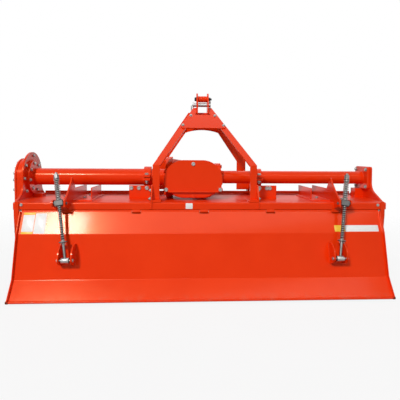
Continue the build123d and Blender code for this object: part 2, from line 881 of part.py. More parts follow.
def short_ear():
    """Outline (Y, Z) of a trunnion's outer ear, low enough for the leaning rod to pass over."""
    nose = trunnion_nose
    front_y = bracket_rear_y + ear_lap
    return outline([
        (trunnion_y - nose, trunnion_z + nose),
        (trunnion_y - nose, trunnion_z - nose),
        (trunnion_y, trunnion_z - nose),
        (deck_rear_y, ear_heel_z),
        (deck_rear_y, deck_z),
        (front_y, deck_z),
        (front_y, deck_z + bracket_base_t),
        (deck_rear_y, deck_z + ear_sill),
        (ear_dip_y, ear_dip_z),
        (trunnion_y + nose, trunnion_z + nose),
    ], [trunnion_nose_r, trunnion_nose_r, 0, 0, 0, 0, 0, 0, 4, 6])


def make_spring_bracket(side):
    """Base on the deck with the trunnion's two ears, the inner one horned, and a rib beside them."""
    x = body_centre_x + side * trunnion_x
    pivot = Vector(x, trunnion_y, trunnion_z)
    inner = trunnion_ear_gap / 2
    outer = inner + trunnion_ear_t
    rib_x = x - side * rib_offset
    base_x = sorted((rib_x - side * bracket_base_margin / 2, x + side * (outer + bracket_base_margin)))
    shape = block(*base_x, bracket_rear_y, bracket_front_y, deck_z, deck_z + bracket_base_t)
    shape += plate_yz(horned_ear(), *sorted((x - side * inner, x - side * outer)))
    shape += plate_yz(short_ear(), *sorted((x + side * inner, x + side * outer)))
    rib = block(*sorted((rib_x, rib_x + side * rib_t)), rib_rear_y, bracket_front_y, deck_z, deck_z + bracket_rise)
    bore = Plane(origin=pivot, z_dir=pin_axis(side)) * Cylinder(trunnion_pin_r + running_gap, 4 * outer)
    return shape + rib - bore


# Mast
def lean_plane():
    """The plane of the leaning stays: x across the machine, y up the slope, z out to the rear."""
    slope = Vector(0, stay_top_y - mast_rear_y, stay_top_z - stay_bend_z)
    out = Vector(0, -slope.Z, slope.Y).normalized()
    return Plane(origin=(0, mast_rear_y, stay_bend_z), x_dir=(1, 0, 0), z_dir=out), slope.length


def make_stay(side):
    """Rear stay of angle section: upright from the deck, then leaning in and forward to the clevis."""
    plane, slope = lean_plane()
    x0, x1 = span(side, stay_half_width - stay_flange_w, stay_half_width)
    stay = block(x0, x1, mast_rear_y, mast_rear_y + stay_t, stay_foot_z, stay_bend_z)
    w0, w1 = span(side, stay_half_width - stay_t, stay_half_width)
    stay += block(w0, w1, mast_rear_y, mast_rear_y + stay_web, stay_foot_z, stay_bend_z)
    inward = stay_half_width - stay_top_x
    wide = stay_flange_w * math.hypot(slope, inward) / slope
    thin = stay_t * math.hypot(slope, inward) / slope
    for width, depth in ((wide, stay_t), (thin, stay_web)):
        strip = outline([
            (side * stay_half_width, 0),
            (side * stay_top_x, slope),
            (side * (stay_top_x - width), slope),
            (side * (stay_half_width - width), 0),
        ])
        stay += extrude(plane * strip, amount=-depth)
    ears = clevis_gap / 2 + clevis_t
    return stay - block(-ears, ears, mast_rear_y, front_frame_y, stay_bend_z, stay_top_z)


def stay_x_at(height):
    """Outer half width of the stays at a distance up their slope."""
    _, slope = lean_plane()
    return stay_half_width + (stay_top_x - stay_half_width) * height / slope


def make_rear_plate():
    """Flat plate across the leaning stays."""
    plane, slope = lean_plane()
    high = slope - rear_plate_drop
    low = high - rear_plate_h
    half_low = stay_x_at(low) - rear_plate_margin
    half_high = stay_x_at(high) - rear_plate_margin
    corners = [(-half_low, low), (half_low, low), (half_high, high), (-half_high, high)]
    face = outline(corners, rear_plate_corner_r)
    return extrude(plane * face, amount=rear_plate_t)


def front_leg_outer():
    return front_leg_inner_x + front_leg_w


def front_inner_x_at(z):
    """Inner edge of the front frame's leg at a height on its sloping part."""
    return front_leg_inner_x - (z - front_bend_z) * front_leg_slope


def make_front_leg(side):
    """Front leg of the mast, upright from the hitch bracket and then sloping in to the clevis."""
    slant = math.hypot(1, front_leg_slope)
    wide = front_leg_w * slant
    outer_bend_z = front_bend_z + (wide - front_leg_w) / front_leg_slope
    top = front_plate_top_z
    points = [
        (front_leg_inner_x, front_leg_foot_z),
        (front_leg_outer(), front_leg_foot_z),
        (front_leg_outer(), outer_bend_z),
        (front_inner_x_at(top) + wide, top),
        (front_inner_x_at(top), top),
        (front_leg_inner_x, front_bend_z),
    ]
    y0 = front_frame_y
    leg = plate_xz(outline([(side * x, z) for x, z in points]), y0, y0 + front_frame_t)
    upright = front_leg_outer() - front_frame_t
    leaning = front_frame_t * slant
    web = [
        (upright, front_leg_foot_z),
        (front_leg_outer(), front_leg_foot_z),
        (front_leg_outer(), outer_bend_z),
        (front_inner_x_at(top) + wide, top),
        (front_inner_x_at(top) + wide - leaning, top),
        (upright, outer_bend_z - (leaning - front_frame_t) / front_leg_slope),
    ]
    return leg + plate_xz(outline([(side * x, z) for x, z in web]), y0, y0 + front_leg_web)


def make_front_plate():
    """Arched plate between the tops of the front legs, on their rear faces."""
    low = front_plate_bottom_z
    top = front_plate_top_z
    x_arch = front_inner_x_at(low)
    x_low = x_arch + front_plate_reach
    x_top = front_inner_x_at(top) + front_plate_reach
    arch = ThreePointArc((-x_arch, low), (0, low + front_arch_rise), (x_arch, low))
    rest = Polyline((x_arch, low), (x_low, low), (x_top, top), (-x_top, top), (-x_low, low), (-x_arch, low))
    face = make_face(arch.edges() + rest.edges())
    return plate_xz(face, front_frame_y - front_plate_t, front_frame_y)


def make_clevis():
    """Two ears with the top-link hole, joined by a spacer tube above it."""
    bottom = front_plate_top_z - clevis_foot
    front = front_frame_y - front_plate_t
    half = clevis_crown_w / 2
    face = outline([
        (clevis_rear_y, bottom),
        (front, bottom),
        (front, top_pin_z),
        (top_pin_y + half, clevis_top_z),
        (top_pin_y - half, clevis_top_z),
        (clevis_rear_y, top_pin_z),
    ], [2, 2, clevis_shoulder_round, clevis_round, clevis_round, clevis_shoulder_round])
    ears = []
    for side in (-1, 1):
        x0, x1 = span(side, clevis_gap / 2, clevis_gap / 2 + clevis_t)
        ear = plate_yz(face, x0, x1)
        ear -= bar_x(top_pin_r, x0, x1, top_pin_y, top_pin_z)
        ears.append(ear)
    spacer = bar_x(spacer_r, -clevis_gap / 2, clevis_gap / 2, top_pin_y, spacer_z)
    return ears[0] + ears[1] + spacer


def make_top_pin():
    """Top-link pin with a bent handle at its left end."""
    outer = clevis_gap / 2 + clevis_t
    left = -outer - top_pin_left
    pin = bar_x(top_pin_r, left, outer + top_pin_right, top_pin_y, top_pin_z)
    return pin + bar_x(top_pin_r + top_pin_head_margin, left - top_pin_head_t, left, top_pin_y, top_pin_z)


# Tube clamps, hitch brackets and saddles
def clamp_radii(side):
    bore = left_tube_r if side < 0 else right_tube_r
    return bore, bore + clamp_wall


def make_clamp_cap(side):
    """Upper half of a tube clamp with two bolting ears."""
    bore, outer = clamp_radii(side)
    x0, x1 = span(side, clamp_inner_x, clamp_outer_x)
    cap = bar_x(outer, x0, x1, tube_y, tube_z)
    reach = outer + clamp_ear
    cap += block(x0, x1, tube_y - reach, tube_y + reach, tube_z, tube_z + clamp_ear_t)
    cap -= bar_x(bore, x0, x1, tube_y, tube_z)
    return cap & block(x0, x1, tube_y - reach, tube_y + reach, tube_z + clamp_split / 2, tube_z + 2 * outer)


def make_hitch_bracket(side):
    """Lower half of a tube clamp with the arm that reaches forward to the lower hitch pin."""
    bore, outer = clamp_radii(side)
    x0, x1 = span(side, clamp_inner_x, clamp_outer_x)
    reach = outer + clamp_ear
    top = tube_z - clamp_split / 2
    body = bar_x(outer, x0, x1, tube_y, tube_z)
    body += block(x0, x1, tube_y - reach, tube_y + reach, tube_z - clamp_ear_t, tube_z)
    pad_z = tube_z - outer - pad_drop
    body += block(x0, x1, tube_y - pad_half, tube_y + pad_half, pad_z, tube_z - clamp_split)
    body -= bar_x(bore, x0, x1, tube_y, tube_z)
    body &= block(x0, x1, tube_y - reach, tube_y + reach, pad_z, top)
    rear = tube_y + outer - arm_lap
    low = deck_z + arm_low_rise
    arm_face = outline([
        (rear, low),
        (rear, top),
        (front_frame_y + arm_brow, top),
        (lower_pin_y + boss_r, lower_pin_z),
        (lower_pin_y - boss_r, lower_pin_z),
        (deck_front_y + arm_clear, low),
    ], [4, 4, 40, 0, 0, 20])
    a0, a1 = span(side, clamp_inner_x, clamp_inner_x + arm_t)
    body += plate_yz(arm_face + Pos(lower_pin_y, lower_pin_z) * Circle(boss_r), a0, a1)
    body += bar_x(boss_r - 4, x0, x1, lower_pin_y, lower_pin_z)
    p0, p1 = span(side, front_leg_outer(), clamp_inner_x)
    lap_y = front_frame_y + leg_lap
    body += block(p0, p1, front_frame_y, lap_y, front_leg_foot_z, top - leg_lap_drop)
    return body - bar_x(lower_pin_root_r, x0, x1, lower_pin_y, lower_pin_z)


def make_lower_pin(side):
    """Lower hitch pin, headed inside the bracket, thicker through it and free beyond it."""
    inner = clamp_inner_x - lower_pin_head
    tip = clamp_outer_x + lower_pin_reach
    pin = bar_x(lower_pin_r, *span(side, clamp_outer_x, tip), lower_pin_y, lower_pin_z)
    pin += bar_x(lower_pin_root_r, *span(side, clamp_inner_x, clamp_outer_x), lower_pin_y, lower_pin_z)
    head_r = lower_pin_root_r + lower_pin_head_margin
    return pin + bar_x(head_r, *span(side, inner, clamp_inner_x), lower_pin_y, lower_pin_z)


def make_saddle(side):
    """Bracket on the deck that the lower clamp half rests on."""
    _, outer = clamp_radii(side)
    x0, x1 = span(side, clamp_inner_x, saddle_outer_x)
    rear = saddle_rear_y
    saddle = block(x0, x1, rear, rear + saddle_plate_t, deck_z, saddle_plate_top_z)
    saddle += block(x0, x1, rear, saddle_front_y, deck_z, deck_z + saddle_plate_t)
    c0, c1 = span(side, clamp_inner_x, clamp_outer_x)
    top = tube_z - outer - pad_drop
    saddle += block(c0, c1, rear, tube_y + pad_half, top - saddle_plate_t, top)
    toe = (tube_y + pad_half + saddle_rib_toe, deck_z)
    web = outline([(rear, deck_z), toe, (tube_y + pad_half, top), (rear, top)])
    for x in (c0, c1 - saddle_rib_t):
        saddle += plate_yz(web, x, x + saddle_rib_t)
    return saddle


def make_mast_foot(side):
    """Gusset on the deck's rear edge that the stay's web is bolted to."""
    x0, x1 = span(side, stay_half_width, stay_half_width + foot_t)
    proud_y = deck_rear_y - foot_proud
    front_y = mast_rear_y + stay_web
    face = outline([
        (proud_y, deck_z - foot_lap),
        (proud_y, deck_z + foot_lap),
        (mast_rear_y - stay_t, foot_top_z),
        (front_y, foot_top_z),
        (front_y + foot_front, deck_z),
        (deck_rear_y, deck_z),
        (deck_rear_y, deck_z - foot_lap),
    ])
    t0, t1 = span(side, stay_half_width - foot_toe, stay_half_width)
    return plate_yz(face, x0, x1) + block(t0, t1, deck_rear_y, front_y, deck_z, stay_foot_z)


# Skids
def make_skid(side):
    """Sledge shoe: a flat sole turned up at both ends, with a web bolted to the side plate."""
    outer = left_outer_x if side < 0 else right_outer_x
    sole = folded([
        (skid_rear_y - skid_tail, skid_tail_h),
        (skid_rear_y, 0),
        (skid_front_y - skid_ramp, 0),
        (skid_front_y, skid_nose_h),
    ], skid_t, skid_bend_r)
    shoe = plate_yz(sole, *sorted((outer + side * skid_outer, outer - side * skid_inner)))
    web = outline([
        (skid_rear_y - skid_t, skid_t),
        (skid_front_y - skid_ramp, skid_t),
        (skid_front_y - skid_web_inset, skid_nose_h - skid_web_inset),
        (skid_front_y - 2 * skid_web_inset, skid_web_h),
        (skid_rear_y, skid_web_h),
    ], 3)
    return shoe + plate_yz(web, *sorted((outer, outer + side * skid_t)))


def build_all():
    """Make every piece of the machine."""
    keep("cross_tube_left", make_left_tube())
    keep("cross_tube_right", make_right_tube())
    keep("gearbox_housing", make_gearbox())
    keep("change_gear_case", make_change_case())
    keep("gear_shield", make_shield())
    keep("shaft_guard", make_shaft_guard())
    keep("input_shaft", make_input_shaft())
    keep("deck", make_deck())
    keep("deck_front_bar", make_front_bar())
    keep("side_plate_left", make_left_plate())
    keep("side_plate_right", make_right_plate())
    keep("side_gear_case", make_gear_case())
    keep("side_case_cover", make_case_cover())
    keep("rotor_bearing_right", make_right_bearing())
    keep("rotor", make_rotor())
    keep("tailgate", make_tailgate())
    keep("hinge_rod", make_hinge_rod())
    keep("hinge_knuckles", make_knuckles())
    keep("mast_rear_plate", make_rear_plate())
    keep("mast_front_plate", make_front_plate())
    keep("top_link_clevis", make_clevis())
    keep("top_link_pin", make_top_pin())
    for make, name in (
        (make_gate_ears, "tailgate_ears"),
        (make_eye_pin, "eye_pin"),
        (make_trunnion, "trunnion"),
        (make_hanger_rod, "hanger_rod"),
        (make_lower_spring, "lower_spring"),
        (make_upper_spring, "upper_spring"),
        (make_spring_bracket, "spring_bracket"),
        (make_stay, "mast_stay"),
        (make_front_leg, "mast_front_leg"),
        (make_mast_foot, "mast_foot"),
        (make_clamp_cap, "tube_clamp"),
        (make_hitch_bracket, "hitch_bracket"),
        (make_lower_pin, "lower_hitch_pin"),
        (make_saddle, "deck_saddle"),
        (make_skid, "skid"),
    ):
        both_sides(make, name)


build_all()
machine_box = Compound(list(pieces.values())).bounding_box()
base_centre = Vector(machine_box.center().X, machine_box.center().Y, 0)
os.makedirs("parts", exist_ok=True)
for name, shape in pieces.items():
    export_step(Pos(-base_centre.X, -base_centre.Y, 0) * shape, f"parts/{name}.step")
print(f"{len(pieces)} pieces, base centre at {base_centre.X:.3f}, {base_centre.Y:.3f}")
size = machine_box.size
print(f"box {size.X:.1f} x {size.Y:.1f} x {size.Z:.1f}, low {machine_box.min.Z:.2f}")
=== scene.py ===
"""The looks of a rotary tiller: finishes, fasteners, springs, welds and trim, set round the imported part."""

import json
from math import cos, hypot, pi, radians, sin

import bpy
from mathutils import Matrix, Vector


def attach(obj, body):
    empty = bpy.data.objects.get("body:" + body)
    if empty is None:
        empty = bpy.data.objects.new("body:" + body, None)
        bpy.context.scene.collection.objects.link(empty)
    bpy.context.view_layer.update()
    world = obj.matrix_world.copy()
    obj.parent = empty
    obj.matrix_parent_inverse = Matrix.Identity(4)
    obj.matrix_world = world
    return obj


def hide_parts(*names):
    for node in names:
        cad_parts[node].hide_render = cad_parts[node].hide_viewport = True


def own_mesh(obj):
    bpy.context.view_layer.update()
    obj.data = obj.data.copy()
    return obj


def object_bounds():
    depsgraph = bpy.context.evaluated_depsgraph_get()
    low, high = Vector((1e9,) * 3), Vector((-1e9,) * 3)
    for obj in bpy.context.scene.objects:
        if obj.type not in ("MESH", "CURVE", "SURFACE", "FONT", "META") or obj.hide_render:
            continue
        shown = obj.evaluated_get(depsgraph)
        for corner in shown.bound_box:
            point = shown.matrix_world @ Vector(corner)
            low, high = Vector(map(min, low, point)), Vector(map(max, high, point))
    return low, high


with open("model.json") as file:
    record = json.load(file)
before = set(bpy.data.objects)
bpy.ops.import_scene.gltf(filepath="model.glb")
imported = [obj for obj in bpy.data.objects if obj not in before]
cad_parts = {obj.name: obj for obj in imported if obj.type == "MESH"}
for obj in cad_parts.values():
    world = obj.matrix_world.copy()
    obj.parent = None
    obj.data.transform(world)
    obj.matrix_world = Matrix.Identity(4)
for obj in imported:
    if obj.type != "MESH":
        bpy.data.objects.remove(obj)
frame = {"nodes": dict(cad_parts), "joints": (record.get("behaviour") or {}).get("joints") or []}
cad_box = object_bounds()
nodes = frame["nodes"]
joints = {joint["name"]: joint for joint in frame["joints"]}

# The drawing's millimetres: X from the hitch's centre line, Z from the ground,
# and Y forward from a line 8 mm behind the tailgate's hinge
MM = 0.001
HINGE = (-6, 8, 423)
origin = Vector(joints["tailgate_hinge"]["pos_m"]) - MM * Vector(HINGE)

X = Vector((1, 0, 0))
Y = Vector((0, 1, 0))
Z = Vector((0, 0, 1))
SIDES = (("left", -1), ("right", 1))

# The body's middle, and faces and lines at a distance either side of it
BODY_X = -6
INNER_X = 974
OUTER_X = 984
GATE_HALF = 930
EYE_X = 674
TRUNNION_X = 726
TRUNNION_EAR = (26, 34)
RIB = (606, 612)

# Faces and lines at a distance either side of the hitch's centre line
CLEVIS_X = 37.5
FOOT_X = 283
ARM_X = 317.5
CLAMP_X = 321.5
CLAMP_OUTER_X = 341.5

# Faces of the gearbox, and the axis of its shaft
DRUM_LEFT_X = -215
DRUM_RIGHT_X = 100
SHIELD_Y = 100
CHANGE_CASE_Y = 105
NECK_Y = 406
INPUT_Z = 582
HOUSING_TOP_Z = 664

# Faces of the deck, its brackets, the saddles and the mast
DECK_Z = 470
DECK_REAR_Y = 4
BRACKET_Z = 476
SADDLE_Y = 192
FRONT_PLATE_Y = 442
SPACER_Z = 1064

# Lines along X, as (y, z)
TUBE = (270, 589)
ROTOR = (270, 216)
EYE = (-130, 207)
TOP_PIN = (405, 1029)
LOWER_PIN = (545, 440)

# The tailgate's section from barrel to hem, and the rear stays' from bend to top, as (y, z)
GATE_LINE = ((-1, 423), (-50.4, 318), (-103.4, 104.9), (-164.4, 18))
STAY_LINE = ((33, 664), (391, 1009))

# Radii and thicknesses
LEFT_TUBE_R = 47.5
RIGHT_TUBE_R = 37.5
TUBE_FLANGE = 15
CASE_DEPTH = 42
CASE_COVER = 14
BEARING_FLANGE = 12
CLAMP_WALL = 13
CLAMP_EAR = 34
CLAMP_EAR_THICK = 16
SKID_THICK = 8
REAR_PLATE = 6
FRONT_PLATE = 18
WELD_RISE = 0.5

# The rotor's flanges and blades
FLANGES = 8
FLANGE_INSET = 126
FLANGE_HALF = 4
BLADES = 6
BLADE_THICK = 8
BLADE_BOLT_R = 70
STAGGER = 15

# Coils, thread, painted-shade sleeve and split pin of a hanger rod, in millimetres along it from the
# trunnion's pivot
UPPER_COIL = {"start": 15.3, "length": 110, "radius": 11.75, "wire": 4.5, "turns": 12}
LOWER_COIL = {"start": -191.3, "length": 176, "radius": 8.8, "wire": 3.4, "turns": 17}
ROD_THREAD = {"start": 146, "length": 14, "radius": 6.4, "wire": 0.9, "turns": 10}
ROD_R = 6.4
SHADE_SLEEVE_R = 6.66
SHADE_SLEEVE_SPANS = ((-190, -17), (17, 124))
ROD_PIN_DROP = 201
SPLIT_PIN = 3.0

# Each softbox's place from the object's centre and its size, in metres, and its power in watts
SOFTBOXES = {
    "key": ((-3.34, -6.9, 5.3), (1.1, 1.1), 590),
    "sky": ((0.9, -4.6, 3.9), (5.5, 0.9), 70),
    "top": ((0.2, 0.0, 3.2), (2.8, 1.8), 12),
    "left": ((-4.6, -1.4, 1.0), (3.0, 2.4), 14),
    "right": ((4.6, -1.4, 1.0), (3.0, 2.4), 14),
    "front": ((0.9, 3.0, 2.2), (2.6, 1.8), 18),
}
SURROUND_LIGHT = 0.09

# The floor's radius, and where it fades into the surround, in metres
FLOOR_R = 3.6
FLOOR_FADE = (1.2, 3.4)
FLOOR_GLOW = 0.88

# Height in metres up to which dust settles on paint
DUST_TOP = 0.05


def at(x, y, z):
    """A place given in the drawing's millimetres."""
    return origin + MM * Vector((x, y, z))


def colour(red, green, blue):
    """An opaque colour."""
    return (red, green, blue, 1.0)


class Shading:
    """The node tree of one material, with short calls to add nodes and to set the shader."""

    def __init__(self, name):
        self.material = bpy.data.materials.new(name)
        self.material.use_nodes = True
        self.tree = self.material.node_tree
        self.shader = self.tree.nodes["Principled BSDF"]
        self.place = self.node("ShaderNodeTexCoord").outputs["Object"]

    def feed(self, socket, value):
        """Link a socket to another, or give it a value."""
        if isinstance(value, bpy.types.NodeSocket):
            self.tree.links.new(value, socket)
        else:
            socket.default_value = value

    def node(self, kind, inputs=None, **settings):
        """Add a node with its settings and inputs."""
        made = self.tree.nodes.new(kind)
        for key, value in settings.items():
            setattr(made, key, value)
        for key, value in (inputs or {}).items():
            self.feed(made.inputs[key], value)
        return made

    def set(self, **inputs):
        """Set the shader's sockets, with underscores for the spaces in their names."""
        for key, value in inputs.items():
            self.feed(self.shader.inputs[key.replace("_", " ")], value)

    def noise(self, scale, detail=3.0, roughness=0.5, stretch=None):
        """Noise over the object, optionally stretched along its axes."""
        place = self.place
        if stretch:
            place = self.node("ShaderNodeMapping", {"Vector": place, "Scale": stretch}).outputs["Vector"]
        inputs = {"Vector": place, "Scale": scale, "Detail": detail, "Roughness": roughness}
        return self.node("ShaderNodeTexNoise", inputs).outputs["Fac"]

    def spread(self, value, span, values=(0.0, 1.0)):
        """Stretch a span of a value between two others, held at both ends."""
        inputs = {"Value": value, "From Min": span[0], "From Max": span[1]}
        inputs.update({"To Min": values[0], "To Max": values[1]})
        return self.node("ShaderNodeMapRange", inputs).outputs["Result"]

    def patches(self, scale, span, values=(0.0, 1.0), **kind):
        """Noise with a span of it stretched between two values."""
        return self.spread(self.noise(scale, **kind), span, values)

    def math(self, operation, a, b):
        """One operation on two values."""
        return self.node("ShaderNodeMath", {0: a, 1: b}, operation=operation).outputs["Value"]

    def mix(self, share, a, b):
        """A colour between two others."""
        made = self.node("ShaderNodeMix", {"Factor": share}, data_type="RGBA")
        ends = [socket for socket in made.inputs if socket.type == "RGBA"]
        for socket, value in zip(ends, (a, b)):
            self.feed(socket, value)
        return next(socket for socket in made.outputs if socket.type == "RGBA")

    def edges(self, radius):
        """How near a place is to a sharp edge, and a normal that rounds that edge."""
        rounded = self.node("ShaderNodeBevel", {"Radius": radius}, samples=4).outputs["Normal"]
        plain = self.node("ShaderNodeNewGeometry").outputs["Normal"]
        pair = {0: rounded, 1: plain}
        alike = self.node("ShaderNodeVectorMath", pair, operation="DOT_PRODUCT").outputs["Value"]
        return self.spread(alike, (0.995, 0.86)), rounded

    def bump(self, height, distance, strength, normal=None):
        """Fine relief on the shader."""
        inputs = {"Height": height, "Distance": distance, "Strength": strength}
        if normal:
            inputs["Normal"] = normal
        self.set(Normal=self.node("ShaderNodeBump", inputs).outputs["Normal"])


def make_paint(name, body, shade, gloss=0.21):
    """Glossy enamel: uneven depth, orange-peel skin, thin at the edges, dust near the ground."""
    look = Shading(name)
    edge, rounded = look.edges(0.0022)
    coat = look.mix(look.patches(6.0, (0.3, 0.7), detail=4.0), shade, body)
    worn = look.math("MULTIPLY", edge, look.patches(90.0, (0.42, 0.62), (0.15, 0.8), detail=4.0))
    thin = colour(min(1.0, body[0] * 1.25), body[1] * 2.6 + 0.02, body[2] * 3.5 + 0.02)
    coat = look.mix(worn, coat, thin)
    height = look.node("ShaderNodeSeparateXYZ", {"Vector": look.place}).outputs["Z"]
    low = look.spread(height, (DUST_TOP, 0.0))
    specks = look.patches(28.0, (0.45, 0.75), (0.0, 0.30), detail=6.0, roughness=0.65)
    coat = look.mix(look.math("MULTIPLY", low, specks), coat, colour(0.30, 0.22, 0.15))
    shine = (gloss - 0.015, gloss + 0.035)
    smears = look.patches(11.0, (0.3, 0.75), shine, detail=5.0, roughness=0.6, stretch=(1.0, 1.0, 2.5))
    normal = look.node("ShaderNodeNewGeometry").outputs["Normal"]
    upward = look.node("ShaderNodeSeparateXYZ", {"Vector": normal}).outputs["Z"]
    dulled = look.math("ADD", smears, look.spread(upward, (0.9, 0.99), (0.0, 0.22)))
    look.set(Base_Color=coat, Roughness=dulled, Specular_Tint=colour(1.0, 0.38, 0.18), IOR=1.4)
    look.set(Coat_Weight=0.08, Coat_Roughness=0.09, Coat_IOR=1.5)
    look.bump(look.noise(420.0, detail=2.0), distance=0.0003, strength=0.05, normal=rounded)
    return look.material


def make_zinc(name, tint, warm, rough=0.34):
    """Zinc plate with a faint yellow passivation and fine scratches."""
    look = Shading(name)
    edge, rounded = look.edges(0.0006)
    plate = look.mix(look.patches(55.0, (0.42, 0.72), (0.0, 0.6), detail=4.0), tint, warm)
    plate = look.mix(look.math("MULTIPLY", edge, 0.4), plate, colour(0.62, 0.62, 0.61))
    shine = (rough - 0.06, rough + 0.12)
    scratches = look.patches(300.0, (0.3, 0.7), shine, roughness=0.6, stretch=(1.0, 1.0, 0.2))
    look.set(Base_Color=plate, Roughness=scratches, Metallic=0.8)
    look.bump(look.noise(900.0, detail=2.0), distance=0.0002, strength=0.15, normal=rounded)
    return look.material


def make_bare_steel():
    """Machined steel under a thin film of grease."""
    look = Shading("bare_steel")
    _, rounded = look.edges(0.0005)
    grease = look.patches(70.0, (0.4, 0.7), (0.0, 0.7), detail=5.0)
    lathe = look.noise(60.0, detail=2.0, stretch=(1.0, 40.0, 1.0))
    look.set(Base_Color=look.mix(grease, colour(0.52, 0.52, 0.51), colour(0.30, 0.26, 0.19)))
    look.set(Roughness=look.spread(lathe, (0.35, 0.65), (0.24, 0.42)), Metallic=0.95)
    look.set(Coat_Weight=0.3, Coat_Roughness=0.12)
    look.bump(lathe, distance=0.0002, strength=0.2, normal=rounded)
    return look.material


def make_dark_steel():
    """Blackened steel."""
    look = Shading("dark_steel")
    edge, rounded = look.edges(0.0006)
    look.set(Base_Color=look.mix(edge, colour(0.022, 0.021, 0.022), colour(0.10, 0.10, 0.10)))
    look.set(Roughness=look.patches(120.0, (0.3, 0.7), (0.36, 0.55), detail=4.0), Metallic=0.6)
    look.bump(look.noise(800.0, detail=2.0), distance=0.0002, strength=0.2, normal=rounded)
    return look.material


def make_rotor_paint():
    """Satin black dip paint, rubbed to bare steel towards the blades' edges."""
    look = Shading("rotor_paint")
    edge, rounded = look.edges(0.0016)
    rubbed = look.math("MULTIPLY", edge, look.patches(60.0, (0.42, 0.6), detail=5.0))
    scuffs = look.patches(34.0, (0.6, 0.72), (0.0, 0.5), detail=6.0, roughness=0.7)
    dip = look.mix(scuffs, colour(0.020, 0.020, 0.022), colour(0.060, 0.056, 0.052))
    look.set(Base_Color=look.mix(rubbed, dip, colour(0.42, 0.41, 0.40)), Metallic=rubbed)
    look.set(Roughness=look.patches(90.0, (0.3, 0.7), (0.30, 0.50), detail=4.0))
    look.bump(look.noise(260.0), distance=0.0006, strength=0.2, normal=rounded)
    return look.material


def make_plastic():
    """Moulded black guard with a fine grain."""
    look = Shading("guard_plastic")
    edge, rounded = look.edges(0.0015)
    scuffs = look.patches(45.0, (0.55, 0.8), (0.0, 0.5), detail=5.0, roughness=0.6)
    black = look.mix(scuffs, colour(0.014, 0.014, 0.015), colour(0.036, 0.035, 0.034))
    pale = look.math("MULTIPLY", edge, 0.6)
    look.set(Base_Color=look.mix(pale, black, colour(0.07, 0.07, 0.07)))
    look.set(Roughness=look.patches(80.0, (0.3, 0.7), (0.42, 0.56)))
    grain = look.node("ShaderNodeTexVoronoi", {"Vector": look.place, "Scale": 900.0}).outputs["Distance"]
    look.bump(grain, distance=0.0003, strength=0.35, normal=rounded)
    return look.material


def make_film(name, tint):
    """Printed film with nothing on it: one colour, a little soiled, softly glossy."""
    look = Shading(name)
    soil = look.patches(40.0, (0.45, 0.8), (0.0, 0.25), detail=5.0)
    dirty = colour(tint[0] * 0.7, tint[1] * 0.66, tint[2] * 0.6)
    look.set(Base_Color=look.mix(soil, tint, dirty))
    look.set(Roughness=look.patches(25.0, (0.3, 0.7), (0.28, 0.40)))
    look.bump(look.noise(240.0, detail=2.0), distance=0.0003, strength=0.12)
    return look.material


ORANGE = make_paint("orange_paint", colour(0.80, 0.036, 0.002), colour(0.76, 0.031, 0.001))
WELD_PAINT = make_paint("weld_paint", colour(0.76, 0.036, 0.003), colour(0.66, 0.028, 0.002), 0.34)
# Dark red paint for the hem caps: painted shade for the shaded ends of the tailgate's hem
SHADED_CAP_PAINT = make_paint("shaded_cap_paint", colour(0.17, 0.012, 0.003), colour(0.11, 0.009, 0.002), 0.40)
ZINC = make_zinc("zinc_plate", colour(0.37, 0.37, 0.365), colour(0.34, 0.31, 0.23))
# Darker zinc for the hanger rods: partly a duller plate, partly painted shade on the rod inside the coils
DULL_SHADED_ZINC = make_zinc("dull_shaded_zinc", colour(0.17, 0.17, 0.168), colour(0.15, 0.135, 0.10), 0.40)
# Dark, rough zinc for the trunnions: the darkness is painted shade, which also damps the glint on their flat
# faces
TRUNNION_SHADE_ZINC = make_zinc("trunnion_shade_zinc", colour(0.12, 0.12, 0.12), colour(0.10, 0.09, 0.07), 0.52)
BRIGHT = make_zinc("bright_zinc", colour(0.48, 0.48, 0.475), colour(0.42, 0.40, 0.35), 0.26)
STEEL = make_bare_steel()
DARK = make_dark_steel()
ROTOR_PAINT = make_rotor_paint()
PLASTIC = make_plastic()
WHITE_FILM = make_film("white_film", colour(0.80, 0.80, 0.78))
YELLOW_FILM = make_film("yellow_film", colour(0.86, 0.52, 0.03))

# Finishes of the nodes that aren't painted orange
FINISHES = {
    "eye_pin": ZINC,
    "lower_hitch_pin": ZINC,
    "hinge_rod": ZINC,
    "hanger_rod": DULL_SHADED_ZINC,
    "trunnion": TRUNNION_SHADE_ZINC,
    "top_link_pin": BRIGHT,
    "input_shaft": STEEL,
    "rotor": ROTOR_PAINT,
    "shaft_guard": PLASTIC,
}


def dress_nodes():
    """Give every node of the part its finish."""
    for name, node in nodes.items():
        kind = name.removesuffix("_left").removesuffix("_right")
        node.data.materials.clear()
        node.data.materials.append(FINISHES.get(kind, ORANGE))


def turns_round(count, first=0.0):
    """Angles spaced evenly round a circle."""
    return [first + 2 * pi * i / count for i in range(count)]


